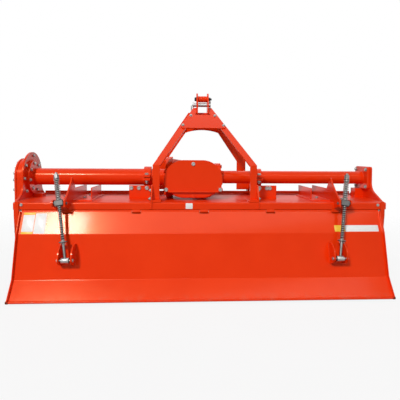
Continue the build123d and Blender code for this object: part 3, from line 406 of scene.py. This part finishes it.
class Piece:
    """Points and faces of one piece while it is made."""

    def __init__(self, name):
        self.name = name
        self.points = []
        self.faces = []

    def skin(self, rings, looped=False):
        """Faces over a row of rings, each with the same number of points, closed at both ends."""
        first = len(self.points)
        count = len(rings[0])
        for ring in rings:
            self.points.extend(ring)
        rows = len(rings) if looped else len(rings) - 1
        for row in range(rows):
            a = first + row * count
            b = first + (row + 1) % len(rings) * count
            for i in range(count):
                j = (i + 1) % count
                self.faces.append((a + i, a + j, b + j, b + i))
        if not looped:
            last = first + (len(rings) - 1) * count
            self.faces.append(tuple(range(first + count - 1, first - 1, -1)))
            self.faces.append(tuple(range(last, last + count)))

    def turned(self, frame_of, profile, sides=24, looped=False):
        """A form turned about its own z axis, from (radius, height) in millimetres.

        A radius may be a function of the angle.
        """
        rings = []
        for radius, height in profile:
            ring = []
            for angle in turns_round(sides):
                r = radius(angle) if callable(radius) else radius
                ring.append(frame_of @ (MM * Vector((r * cos(angle), r * sin(angle), height))))
            rings.append(ring)
        self.skin(rings, looped=looped)

    def extruded(self, outline, x0, x1):
        """A plate along X between two ends, from an outline of (y, z) in the drawing's millimetres."""
        self.skin([[at(x, y, z) for y, z in outline] for x in (x0, x1)])

    def wire(self, path, radius, sides=8, looped=False):
        """A round wire along points in metres, with one radius in millimetres or one for each point."""
        count = len(path)
        side = None
        rings = []
        for i, point in enumerate(path):
            ahead = path[(i + 1) % count] if looped or i < count - 1 else point
            behind = path[i - 1] if looped or i > 0 else point
            run = (ahead - behind).normalized()
            if side is None:
                side = run.orthogonal().normalized()
            side = (side - run * side.dot(run)).normalized()
            other = run.cross(side)
            r = MM * (radius[i] if isinstance(radius, list) else radius)
            ring = []
            for angle in turns_round(sides):
                ring.append(point + side * (r * cos(angle)) + other * (r * sin(angle)))
            rings.append(ring)
        self.skin(rings, looped=looped)

    def placed(self, material, smooth):
        """Make the object, with hard edges where faces meet at more than the angle."""
        mesh = bpy.data.meshes.new(self.name)
        mesh.from_pydata(self.points, [], self.faces)
        mesh.validate()
        mesh.shade_smooth()
        mesh.set_sharp_from_angle(angle=radians(smooth))
        mesh.materials.append(material)
        made = bpy.data.objects.new(self.name, mesh)
        bpy.context.scene.collection.objects.link(made)
        return made

    def done(self, material, body, smooth=35):
        """Make the object and let it ride on a body."""
        made = self.placed(material, smooth)
        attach(made, body)
        return made


def stand(place, axis, turn=0.0):
    """A frame at a place with its z along an axis."""
    aim = axis.to_track_quat("Z", "Y").to_matrix().to_4x4()
    return Matrix.Translation(place) @ aim @ Matrix.Rotation(turn, 4, "Z")


def hexagon(flat, limit):
    """Radius round a hexagon with the given half width across flats, cut off by a circle."""
    return lambda angle: min(flat / cos((angle + pi / 6) % (pi / 3) - pi / 6), limit)


def add_washer(piece, frame_of, size, base):
    """Flat washer with eased edges, and its top's height."""
    outer = 1.05 * size
    top = base + 0.19 * size
    ease = 0.3
    profile = [(outer - ease, base), (outer, base + ease), (outer, top - ease), (outer - ease, top)]
    piece.turned(frame_of, profile)
    return top


def add_head(piece, frame_of, size, base):
    """Hexagon head, chamfered on top."""
    flat = 0.78 * size
    high = 0.66 * size
    corner = flat / cos(pi / 6)
    piece.turned(frame_of, [
        (hexagon(flat * 0.98, corner), base),
        (hexagon(flat, corner), base + 0.1 * high),
        (hexagon(flat, corner), base + 0.72 * high),
        (hexagon(flat, corner * 0.95), base + 0.88 * high),
        (hexagon(flat, flat * 0.95), base + high),
        (flat * 0.80, base + 0.95 * high),
    ])


def add_nut(piece, frame_of, size, base):
    """Hexagon nut with the end of its bolt standing out, threaded."""
    flat = 0.78 * size
    high = 0.82 * size
    corner = flat / cos(pi / 6)
    piece.turned(frame_of, [
        (hexagon(flat, flat * 0.98), base),
        (hexagon(flat, corner), base + 0.16 * high),
        (hexagon(flat, corner), base + 0.84 * high),
        (hexagon(flat, flat * 0.98), base + high),
        (size * 0.52, base + high),
    ])
    pitch = 0.14 * size
    ridges = 4
    profile = [(size * 0.45, base + high - pitch)]
    for ridge in range(ridges):
        profile.append((size * 0.5, base + high + ridge * pitch))
        profile.append((size * 0.44, base + high + (ridge + 0.5) * pitch))
    profile.append((size * 0.36, base + high + ridges * pitch))
    piece.turned(frame_of, profile, sides=16)


def fasten(name, size, places, axis, nut=False, washer=True, finish=None):
    """One object of the frame with a bolt or a nut at each place, all facing along the axis."""
    turn_on = 0.77
    add = add_nut if nut else add_head
    piece = Piece(name)
    for index, place in enumerate(places):
        frame_of = stand(place, axis, index * turn_on)
        base = add_washer(piece, frame_of, size, 0.0) if washer else 0.0
        add(piece, frame_of, size, base)
    made = piece.done(finish or ZINC, "frame")


def ring_of(count, radius, x, centre, first=0.0):
    """Places on a circle about an axis along X."""
    y, z = centre
    return [at(x, y + radius * cos(turn), z + radius * sin(turn)) for turn in turns_round(count, first)]


def bolt_centre():
    """Bolts of the gearbox, its shield, its flanges and the shaft guard."""
    lugs = [at(x, SHIELD_Y, z) for x, z in ((-61, 669), (-208.5, 529), (87.5, 529))]
    fasten("shield_bolts", 10, lugs, -Y)
    fasten("change_case_bolt", 10, [at(-60, CHANGE_CASE_Y, 492)], -Y, finish=ORANGE)
    left_drum = ring_of(8, radius=100, x=DRUM_LEFT_X, centre=TUBE, first=pi / 8)
    fasten("drum_bolts_left", 12, left_drum, -X, finish=ORANGE)
    right_drum = ring_of(6, radius=62, x=DRUM_RIGHT_X, centre=TUBE, first=pi / 6)
    fasten("drum_bolts_right", 12, right_drum, X, finish=ORANGE)
    neck_r = 77
    turns = turns_round(6, pi / 6)
    neck = [at(neck_r * cos(turn), NECK_Y, INPUT_Z + neck_r * sin(turn)) for turn in turns]
    fasten("guard_bolts", 7, neck, Y, washer=False)


def bolt_left_end():
    """Bolts inside the left plate, on the tube's flange and round the gear case's cover."""
    inner = BODY_X - INNER_X
    tube_y, tube_z = TUBE
    rotor_y, rotor_z = ROTOR
    plate_r = 120
    turns = [radians(angle) for angle in (-8, 38, 86, 147, 183, 219)]
    head = [at(inner, tube_y + plate_r * cos(turn), tube_z + plate_r * sin(turn)) for turn in turns]
    fasten("plate_bolts_left", 9, head, X)
    flange = ring_of(8, radius=77, x=inner + TUBE_FLANGE, centre=TUBE, first=radians(12))
    fasten("tube_bolts_left", 9, flange, X)
    top_r = 86
    low_r = 75
    over = [radians(angle) for angle in range(-10, 191, 25)]
    under = [radians(angle) for angle in range(170, 371, 25)]
    rim = [(tube_y + top_r * cos(turn), tube_z + top_r * sin(turn)) for turn in over]
    rim += [(rotor_y + low_r * cos(turn), rotor_z + low_r * sin(turn)) for turn in under]
    for z in (285, 365, 445, 520):
        reach = low_r + (top_r - low_r) * (z - rotor_z) / (tube_z - rotor_z)
        rim += [(tube_y - reach, z), (tube_y + reach, z)]
    face = BODY_X - OUTER_X - CASE_DEPTH - CASE_COVER
    fasten("cover_bolts", 9, [at(face, y, z) for y, z in rim], -X)


def bolt_right_end():
    """Bolts of the square flange and the rotor's bearing."""
    inner = BODY_X + INNER_X - TUBE_FLANGE
    square = [at(inner, TUBE[0] + y, TUBE[1] + z) for y in (-64, 64) for z in (-50, 50)]
    fasten("tube_bolts_right", 10, square, -X)
    bearing = ring_of(6, radius=66, x=BODY_X + OUTER_X + BEARING_FLANGE, centre=ROTOR, first=pi / 6)
    fasten("bearing_bolts", 11, bearing, X)


def bolt_deck():
    """Bolts at the deck's ends, on the spring brackets and through the mast feet."""
    fasten("deck_end_bolts", 7.5, [at(-939, DECK_REAR_Y, 459), at(923, DECK_REAR_Y, 457)], -Y)
    base = [at(BODY_X + side * 774, y, BRACKET_Z) for side in (-1, 1) for y in (100, 216, 330)]
    base += [at(BODY_X + side * 655, y, BRACKET_Z) for side in (-1, 1) for y in (170, 300)]
    fasten("bracket_bolts", 10, base, Z)
    for word, side in SIDES:
        foot = [at(side * FOOT_X, y, z) for y, z in ((36, 486), (62, 528))]
        fasten(f"foot_bolts_{word}", 10, foot, X * side, nut=True)


def bolt_mast():
    """Bolts of the mast's plates and of the clevis spacer."""
    (low_y, low_z), (top_y, top_z) = STAY_LINE
    rise = Vector((0, top_y - low_y, top_z - low_z)).normalized()
    out = Vector((0, -rise.z, rise.y))
    bend = at(0, low_y, low_z) + out * MM * REAR_PLATE
    corners = ((-72, 412), (72, 412), (-119, 322), (119, 322))
    places = [bend + X * MM * x + rise * MM * up for x, up in corners]
    fasten("rear_plate_bolts", 9, places, out)
    legs = [at(side * x, FRONT_PLATE_Y, z) for side in (-1, 1) for x, z in ((109, 880), (62, 950))]
    fasten("front_plate_bolts", 12, legs, -Y, finish=ORANGE)
    fasten("front_plate_nuts", 12, [place + Y * MM * FRONT_PLATE for place in legs], Y, nut=True)
    for word, side in SIDES:
        end = [at(side * CLEVIS_X, TOP_PIN[0], SPACER_Z)]
        fasten(f"spacer_bolt_{word}", 13, end, X * side, nut=side > 0, finish=DARK)


def bolt_hitch():
    """Bolts of the tube clamps, the saddles, the hitch brackets and the skids."""
    y, z = TUBE
    for word, side, bore, saddle_x in (("left", -1, LEFT_TUBE_R, 408), ("right", 1, RIGHT_TUBE_R, 381)):
        x = side * CLAMP_X
        reach = bore + CLAMP_WALL + CLAMP_EAR / 2
        ears = [y + reach, y - reach]
        fasten(f"clamp_bolts_{word}", 12, [at(x, ear, z + CLAMP_EAR_THICK) for ear in ears], Z)
        fasten(f"clamp_nuts_{word}", 12, [at(x, ear, z - CLAMP_EAR_THICK) for ear in ears], -Z, nut=True)
        rear = [at(side * near, SADDLE_Y, 530) for near in (321, 365, saddle_x)]
        fasten(f"saddle_bolts_{word}", 11, rear, -Y)
        lap = [at(side * ARM_X, 478, up) for up in (520, 560)]
        fasten(f"leg_bolts_{word}", 14, lap, X * side, nut=True)
        skid = [at(BODY_X + side * (OUTER_X + SKID_THICK), along, 84) for along in (130, 270, 392)]
        fasten(f"skid_bolts_{word}", 12, skid, X * side)


def bolt_rotor():
    """Two bolts and nuts through the root of each blade."""
    heads = Piece("blade_bolts")
    nuts = Piece("blade_nuts")
    first = BODY_X - INNER_X + FLANGE_INSET
    pitch = 2 * (INNER_X - FLANGE_INSET) / (FLANGES - 1)
    for flange in range(FLANGES):
        x = first + pitch * flange
        for blade in range(BLADES):
            way = 1 if blade % 2 else -1
            turn = Matrix.Rotation(radians(360 / BLADES * blade + STAGGER * flange), 4, "X")
            for across in (-14, 14):
                root = turn @ Vector((0, across, BLADE_BOLT_R))
                place = at(x, ROTOR[0] + root.y, ROTOR[1] + root.z)
                blade_face = place + X * (way * MM * (FLANGE_HALF + BLADE_THICK))
                add_head(heads, stand(blade_face, X * way), 10, 0)
                flange_face = place - X * (way * MM * FLANGE_HALF)
                add_nut(nuts, stand(flange_face, -X * way), 10, 0)
    for piece in (heads, nuts):
        piece.done(DARK, "rotor")


def coil_path(frame_of, start, length, radius, wire, turns):
    """Points of a compression spring about its own z axis, with one closed turn at each end."""
    steps = 14
    free = length - 3 * wire
    path = []
    for i in range(turns * steps + 1):
        turn = i / steps
        if turn < 1:
            rise = wire * turn
        elif turn > turns - 1:
            rise = length - wire - wire * (turns - turn)
        else:
            rise = wire + free * (turn - 1) / (turns - 2)
        angle = 2 * pi * turn
        local = Vector((radius * cos(angle), radius * sin(angle), start + wire / 2 + rise))
        path.append(frame_of @ (MM * local))
    return path


def make_coil(name, rod, coil, body):
    """A wound spring on a rod, riding on a body."""
    piece = Piece(name)
    piece.wire(coil_path(rod, **coil), coil["wire"] / 2, sides=10)
    return piece.done(ZINC, body)


def make_cotter(piece, place, along, across, legs):
    """Split pin through a rod: a round eye on one side and two spread legs on the other."""
    unit = MM * SPLIT_PIN
    centre = place - along * (unit * 2.6)
    eye = [centre + (along * cos(turn) + across * sin(turn)) * (unit * 1.25) for turn in turns_round(14)]
    piece.wire(eye, SPLIT_PIN * 0.36, looped=True)
    spread = ((-SPLIT_PIN * 1.4, 0.5), (0, 0.7), (legs * 0.5, 0.8), (legs * 0.75, 2.2), (legs, 6.5))
    for way in (-1, 1):
        path = [place + along * MM * run + across * (way * MM * off) for run, off in spread]
        piece.wire(path, SPLIT_PIN * 0.34)


def spring_rods():
    """Coils, thread, a dark sleeve of painted shade inside the coils, eye sleeve and split pin of each hanger
    rod.
    """
    for word, side in SIDES:
        hanger = f"hanger_{word}"
        slide = joints[f"hanger_{word}_slide"]
        up = Vector(slide["axis"])
        pivot = Vector(joints[f"trunnion_{word}_turn"]["pos_m"])
        rod = stand(pivot, up)
        coil = make_coil(f"upper_coil_{word}", rod, UPPER_COIL, f"trunnion_{word}")
        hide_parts(f"upper_spring_{word}")
        coil = make_coil(f"lower_coil_{word}", rod, LOWER_COIL, hanger)
        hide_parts(f"lower_spring_{word}")
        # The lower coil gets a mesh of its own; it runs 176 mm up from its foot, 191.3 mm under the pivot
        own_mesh(coil)
        thread = Piece(f"rod_thread_{word}")
        thread.wire(coil_path(rod, **ROD_THREAD), 0.5, sides=6)
        thread.done(ZINC, hanger)
        # A dark sleeve on the rod inside the coils: painted shade standing in for the shade the coils cast on
        # the rod
        grease = Piece(f"rod_shade_sleeve_{word}")
        for low, high in SHADE_SLEEVE_SPANS:
            profile = [(ROD_R, low - 0.5), (SHADE_SLEEVE_R, low), (SHADE_SLEEVE_R, high), (ROD_R, high + 0.5)]
            grease.turned(rod, profile, sides=20)
        grease.done(DARK, hanger)
        sleeve = Piece(f"eye_sleeve_{word}")
        rim = [(12.9, -18), (13.1, -18), (13.5, -17.4), (13.5, 17.4), (13.1, 18), (12.9, 18)]
        sleeve.turned(stand(at(BODY_X + side * EYE_X, *EYE), X), rim, sides=28, looped=True)
        sleeve.done(BRIGHT, hanger)
        pins = Piece(f"rod_split_pin_{word}")
        make_cotter(pins, pivot - up * (MM * ROD_PIN_DROP), X * side, up, legs=16)
        pins.done(ZINC, hanger)


def hem_caps():
    """Rounded caps on the ends of the tailgate's bottom rod, dark red as painted shade of the hem's shaded
    ends.
    """
    y, z = GATE_LINE[-1]
    profile = [(6.3, -9), (7.3, -8), (7.3, 1), (6.6, 3), (4.6, 4.4), (2.2, 5)]
    caps = Piece("hem_caps")
    for side in (-1, 1):
        end = at(BODY_X + side * (GATE_HALF + 7), y, z)
        caps.turned(stand(end, X * side), profile, sides=20)
    caps.done(SHADED_CAP_PAINT, "tailgate")


def hinge_pins():
    """Split pins at the ends of the hinge rod."""
    past_barrel = 8.5
    pins = Piece("hinge_split_pins")
    for side in (-1, 1):
        end = at(BODY_X + side * (GATE_HALF + past_barrel), HINGE[1], HINGE[2])
        make_cotter(pins, end, -Z, X, legs=14)
    pins.done(BRIGHT, "frame")


def closing_strips():
    """Strip under the deck behind the hinge line, and the folded rear edges of the side plates."""
    strip = Piece("hinge_strip")
    strip.extruded([(22, 465), (22, 402), (24, 398), (27, 398), (25, 403), (25, 465)], -978, 966)
    strip.done(ORANGE, "frame")
    edges = Piece("side_plate_edges")
    fold = INNER_X - 12
    face = [(0, 474), (5, 477), (15, 477), (18, 472), (18, 392), (10, 352), (3, 352), (0, 358)]
    web = [(fold, 0), (fold - 4, 0), (fold - 4, 4), (INNER_X - 4, 36), (INNER_X, 36), (INNER_X, 32)]
    for side in (-1, 1):
        # The outlines run the other way round on the right, so that all faces look outwards
        fold_line = [(BODY_X + side * (fold - x), z) for x, z in face[::-side]]
        web_line = [(BODY_X + side * x, y) for x, y in web[::-side]]
        edges.skin([[at(x, y, z) for x, z in fold_line] for y in (-1, 3.6)])
        edges.skin([[at(x, y, z) for x, y in web_line] for z in (352, 472)])
    edges.done(ORANGE, "frame", 30)


def top_pin_trim():
    """Bent handle and lynch ring on the top-link pin."""
    y, z = TOP_PIN
    trim = Piece("top_pin_handle")
    bends = ((-60, 0), (-64, 1), (-67, 8), (-67.5, 24), (-66, 36))
    trim.wire([at(x, y, z - drop) for x, drop in bends], 4.2, sides=12)
    trim.done(ZINC, "frame")
    ring = Piece("top_pin_lynch")
    loop = [at(49, y - 17 * sin(turn), z + 17 + 15 * cos(turn)) for turn in turns_round(32)]
    ring.wire(loop, 1.9, looped=True)
    peg = [(3.4, 0), (5.6, 0.8), (5.6, 6), (4.6, 7), (4.2, 8), (4.2, 38), (3.2, 41)]
    ring.turned(stand(at(47.5, y, z + 22), -Z), peg, sides=16)
    ring.done(ZINC, "frame")


def lower_pin_trim():
    """Lynch pins through the lower hitch pins."""
    y, z = LOWER_PIN
    loop_r = 18
    peg = [(3.6, 0), (6, 0.8), (6, 7), (5, 8), (4.4, 9), (4.4, 36), (3.2, 39)]
    for word, side in SIDES:
        x = side * (CLAMP_OUTER_X + 88)
        ring = Piece(f"lower_lynch_{word}")
        loop = [at(x + side * 3 * sin(turn), y + loop_r * sin(turn), z - 14 + loop_r * cos(turn))
                for turn in turns_round(32)]
        ring.wire(loop, 2.0, looped=True)
        ring.turned(stand(at(x, y, z + 19), -Z), peg, sides=16)
        ring.done(BRIGHT, "frame")


def gearbox_trim():
    """Breather on the gearbox and level plug on the side gear case."""
    plugs = Piece("gearbox_plugs")
    nut = hexagon(9, 12)
    breather = [(9, 0), (9, 3), (nut, 3), (nut, 10), (7, 10), (7, 16), (5, 18)]
    plugs.turned(stand(at(-60, 200, HOUSING_TOP_Z), Z), breather)
    nut = hexagon(10, 13)
    level = [(12, 0), (12, 2), (nut, 2), (nut, 9), (hexagon(10, 10.4), 10.5), (8, 10.2)]
    idler_cap = 5
    face = BODY_X - OUTER_X - CASE_DEPTH - CASE_COVER - idler_cap
    plugs.turned(stand(at(face, TUBE[0] - 5, 402.5), -X), level)
    plugs.done(ZINC, "frame")


def film(name, corners, material, body):
    """A blank film with rounded corners on a flat face, given by three of its corners in metres."""
    low, along, up = corners
    across = along - low
    rise = up - low
    out = across.cross(rise).normalized()
    wide = across.length
    high = rise.length
    radius = 3.0 * MM
    bends = (
        (wide - radius, high - radius, 0),
        (radius, high - radius, 90),
        (radius, radius, 180),
        (wide - radius, radius, 270),
    )
    ring = []
    for centre_x, centre_y, start in bends:
        for step in range(5):
            angle = radians(start + 22.5 * step)
            ring.append((centre_x + radius * cos(angle), centre_y + radius * sin(angle)))
    piece = Piece(name)
    layers = []
    for height, shrink in ((-0.2, 0), (0.25, 0), (0.35, 0.2)):
        layer = []
        for x, y in ring:
            x += (wide / 2 - x) / wide * 2 * shrink * MM
            y += (high / 2 - y) / high * 2 * shrink * MM
            layer.append(low + across.normalized() * x + rise.normalized() * y + out * (height * MM))
        layers.append(layer)
    piece.skin(layers)
    piece.done(material, body)


def gate_at(x, drop):
    """A place on the tailgate's top band, a distance down it from the hinge barrel."""
    (y0, z0), (y1, z1) = GATE_LINE[:2]
    share = drop / hypot(y1 - y0, z1 - z0)
    return at(x, y0 + (y1 - y0) * share, z0 + (z1 - z0) * share)


def gate_film(name, x0, x1, low, high, material):
    """A blank film on the tailgate's top band, between two distances down it."""
    film(name, (gate_at(x0, low), gate_at(x1, low), gate_at(x0, high)), material, "tailgate")


def films():
    """Blank colour blocks where small stickers sit."""
    gate_film("film_left_white_a", -921, -864, 103, 16, WHITE_FILM)
    gate_film("film_left_white_b", -861, -806, 113, 8, WHITE_FILM)
    gate_film("film_left_yellow_top", -921, -864, 15, 4, YELLOW_FILM)
    gate_film("film_left_yellow_low", -921, -864, 114, 104, YELLOW_FILM)
    gate_film("film_right_yellow", 672, 726, 108, 74, YELLOW_FILM)
    gate_film("film_right_white", 728, 906, 108, 74, WHITE_FILM)
    y = DECK_REAR_Y
    film("film_deck", (at(-102, y, 437), at(-66, y, 437), at(-102, y, 467)), WHITE_FILM, "frame")


def bead(piece, path, width=6):
    """A rippled weld along points in metres, tapered at both ends."""
    spacing = 1.6 * MM
    points = []
    for a, b in zip(path, path[1:]):
        count = max(1, round((b - a).length / spacing))
        points += [a.lerp(b, i / count) for i in range(count)]
    points.append(path[-1])
    sizes = []
    for i in range(len(points)):
        taper = min(1.0, 0.5 + 0.25 * min(i, len(points) - 1 - i))
        ripple = 1 + 0.10 * sin(i * 2.1) + 0.06 * sin(i * 0.61)
        sizes.append(width / 2 * taper * ripple)
    piece.wire(points, sizes, sides=7)


def bead_round(piece, x, radius):
    """A weld round the cross tube's line."""
    ring = ring_of(48, radius, x, TUBE)
    bead(piece, ring + ring[:1])


def weld_frame():
    """Weld beads of the frame."""
    tubes = Piece("tube_welds")
    bead_round(tubes, BODY_X - INNER_X + TUBE_FLANGE, LEFT_TUBE_R + WELD_RISE)
    bead_round(tubes, DRUM_LEFT_X, LEFT_TUBE_R + WELD_RISE)
    bead_round(tubes, DRUM_RIGHT_X, RIGHT_TUBE_R + WELD_RISE)
    bead_round(tubes, BODY_X + INNER_X - TUBE_FLANGE, RIGHT_TUBE_R + WELD_RISE)
    tubes.done(WELD_PAINT, "frame")
    brackets = Piece("bracket_welds")
    for side in (-1, 1):
        for near in TRUNNION_EAR:
            x = BODY_X + side * (TRUNNION_X - near)
            bead(brackets, [at(x, y, BRACKET_Z) for y in (64, 358)], 5)
        for near in RIB:
            x = BODY_X + side * near
            bead(brackets, [at(x, y, BRACKET_Z) for y in (132, 358)], 4)
        for near in TRUNNION_EAR:
            x = BODY_X + side * (TRUNNION_X + near)
            bead(brackets, [at(x, DECK_REAR_Y, z) for z in (441, 466)], 5)
    brackets.done(WELD_PAINT, "frame")
    plates = Piece("plate_welds")
    for side in (-1, 1):
        x = BODY_X + side * INNER_X
        bead(plates, [at(x, y, DECK_Z) for y in (40, 268)])
        bead(plates, [at(x, y, DECK_Z) for y in (332, 462)])
        x = side * FOOT_X
        bead(plates, [at(x, y, DECK_Z) for y in (12, 132)])
        bead(plates, [at(x, DECK_REAR_Y, z) for z in (446, 468)], 5)
    plates.done(WELD_PAINT, "frame")


def gate_face_at(z):
    """Y of the tailgate's rear face at a height on its middle panel."""
    (y0, z0), (y1, z1) = GATE_LINE[1:3]
    return y0 + (y1 - y0) * (z0 - z) / (z0 - z1)


def weld_gate():
    """Weld beads of the tailgate's ears."""
    ears = Piece("ear_welds")
    for side in (-1, 1):
        for near in (-28, -35, 28, 35):
            x = BODY_X + side * EYE_X + near
            bead(ears, [at(x, gate_face_at(z), z) for z in (177, 269)], 4)
    ears.done(WELD_PAINT, "tailgate")


def make_camera():
    """The photograph's viewpoint."""
    place = at(-111.3, -1989.4, 714.6)
    yaw = 0.0518
    pitch = 0.0341
    roll = 0.0064
    forward = Vector((sin(yaw) * cos(pitch), cos(yaw) * cos(pitch), -sin(pitch)))
    level = forward.cross(Z).normalized()
    rise = level.cross(forward)
    right = level * cos(roll) + rise * sin(roll)
    up = rise * cos(roll) - level * sin(roll)
    data = bpy.data.cameras.new("camera")
    data.sensor_width = 36
    data.lens = 34.56
    data.shift_x = -0.0099
    data.shift_y = -0.078
    camera = bpy.data.objects.new("camera", data)
    bpy.context.scene.collection.objects.link(camera)
    turn = Matrix((right, up, -forward)).transposed().to_4x4()
    camera.matrix_world = Matrix.Translation(place) @ turn
    bpy.context.scene.camera = camera


def softbox(name, place, target, size, power):
    """A rectangular area light aimed at a place."""
    data = bpy.data.lights.new(name, "AREA")
    data.shape = "RECTANGLE"
    data.size, data.size_y = size
    data.energy = power
    lamp = bpy.data.objects.new(name, data)
    bpy.context.scene.collection.objects.link(lamp)
    lamp.location = place
    lamp.rotation_euler = (target - place).to_track_quat("-Z", "Y").to_euler()


def make_light():
    """Soft studio light and a white surround."""
    centre = (cad_box[0] + cad_box[1]) / 2
    for name, (away, size, power) in SOFTBOXES.items():
        softbox(name, centre + Vector(away), centre, size, power)
    world = bpy.data.worlds.new("studio")
    bpy.context.scene.world = world
    world.use_nodes = True
    tree = world.node_tree
    plain = tree.nodes["Background"]
    plain.inputs["Color"].default_value = colour(0.93, 0.96, 1.0)
    plain.inputs["Strength"].default_value = SURROUND_LIGHT
    white = tree.nodes.new("ShaderNodeBackground")
    white.inputs["Color"].default_value = colour(1.0, 1.0, 1.0)
    white.inputs["Strength"].default_value = 1.0
    path = tree.nodes.new("ShaderNodeLightPath")
    seen = path.outputs["Is Camera Ray"]
    for ray in ("Is Glossy Ray", "Is Transmission Ray"):
        either = tree.nodes.new("ShaderNodeMath")
        either.operation = "MAXIMUM"
        tree.links.new(seen, either.inputs[0])
        tree.links.new(path.outputs[ray], either.inputs[1])
        seen = either.outputs["Value"]
    choose = tree.nodes.new("ShaderNodeMixShader")
    for socket, output in zip(choose.inputs, (seen, plain.outputs[0], white.outputs[0])):
        tree.links.new(output, socket)
    tree.links.new(choose.outputs[0], tree.nodes["World Output"].inputs["Surface"])


def make_floor():
    """A round pale floor that fades into the white surround, and is clear from below."""
    look = Shading("floor")
    grain = look.patches(3.0, (0.3, 0.7), detail=4.0)
    look.set(Base_Color=look.mix(grain, colour(0.50, 0.50, 0.50), colour(0.54, 0.54, 0.54)))
    look.set(Roughness=look.patches(14.0, (0.3, 0.7), (0.55, 0.7)), Specular_IOR_Level=0.3)
    glow = look.node("ShaderNodeEmission", {"Color": colour(1.0, 1.0, 1.0), "Strength": 1.0})
    seen = look.math("MULTIPLY", look.node("ShaderNodeLightPath").outputs["Is Camera Ray"], FLOOR_GLOW)
    lit = look.node("ShaderNodeMixShader", {0: seen, 1: look.shader.outputs[0], 2: glow.outputs[0]})
    away = look.node("ShaderNodeVectorMath", {0: look.place}, operation="LENGTH").outputs["Value"]
    below = look.node("ShaderNodeNewGeometry").outputs["Backfacing"]
    gone = look.math("MAXIMUM", look.spread(away, FLOOR_FADE), below)
    clear = look.node("ShaderNodeBsdfTransparent")
    mixed = look.node("ShaderNodeMixShader", {0: gone, 1: lit.outputs[0], 2: clear.outputs[0]})
    look.feed(look.tree.nodes["Material Output"].inputs["Surface"], mixed.outputs[0])
    piece = Piece("floor")
    sides = 64
    piece.points = [Vector((FLOOR_R * cos(turn), FLOOR_R * sin(turn), 0)) for turn in turns_round(sides)]
    piece.faces = [tuple(range(sides))]
    piece.placed(look.material, 35)


dress_nodes()
bolt_centre()
bolt_left_end()
bolt_right_end()
bolt_deck()
bolt_mast()
bolt_hitch()
bolt_rotor()
spring_rods()
hem_caps()
hinge_pins()
closing_strips()
top_pin_trim()
lower_pin_trim()
gearbox_trim()
films()
weld_frame()
weld_gate()
make_camera()
make_light()
make_floor()
bpy.context.scene.view_settings.view_transform = "Standard"
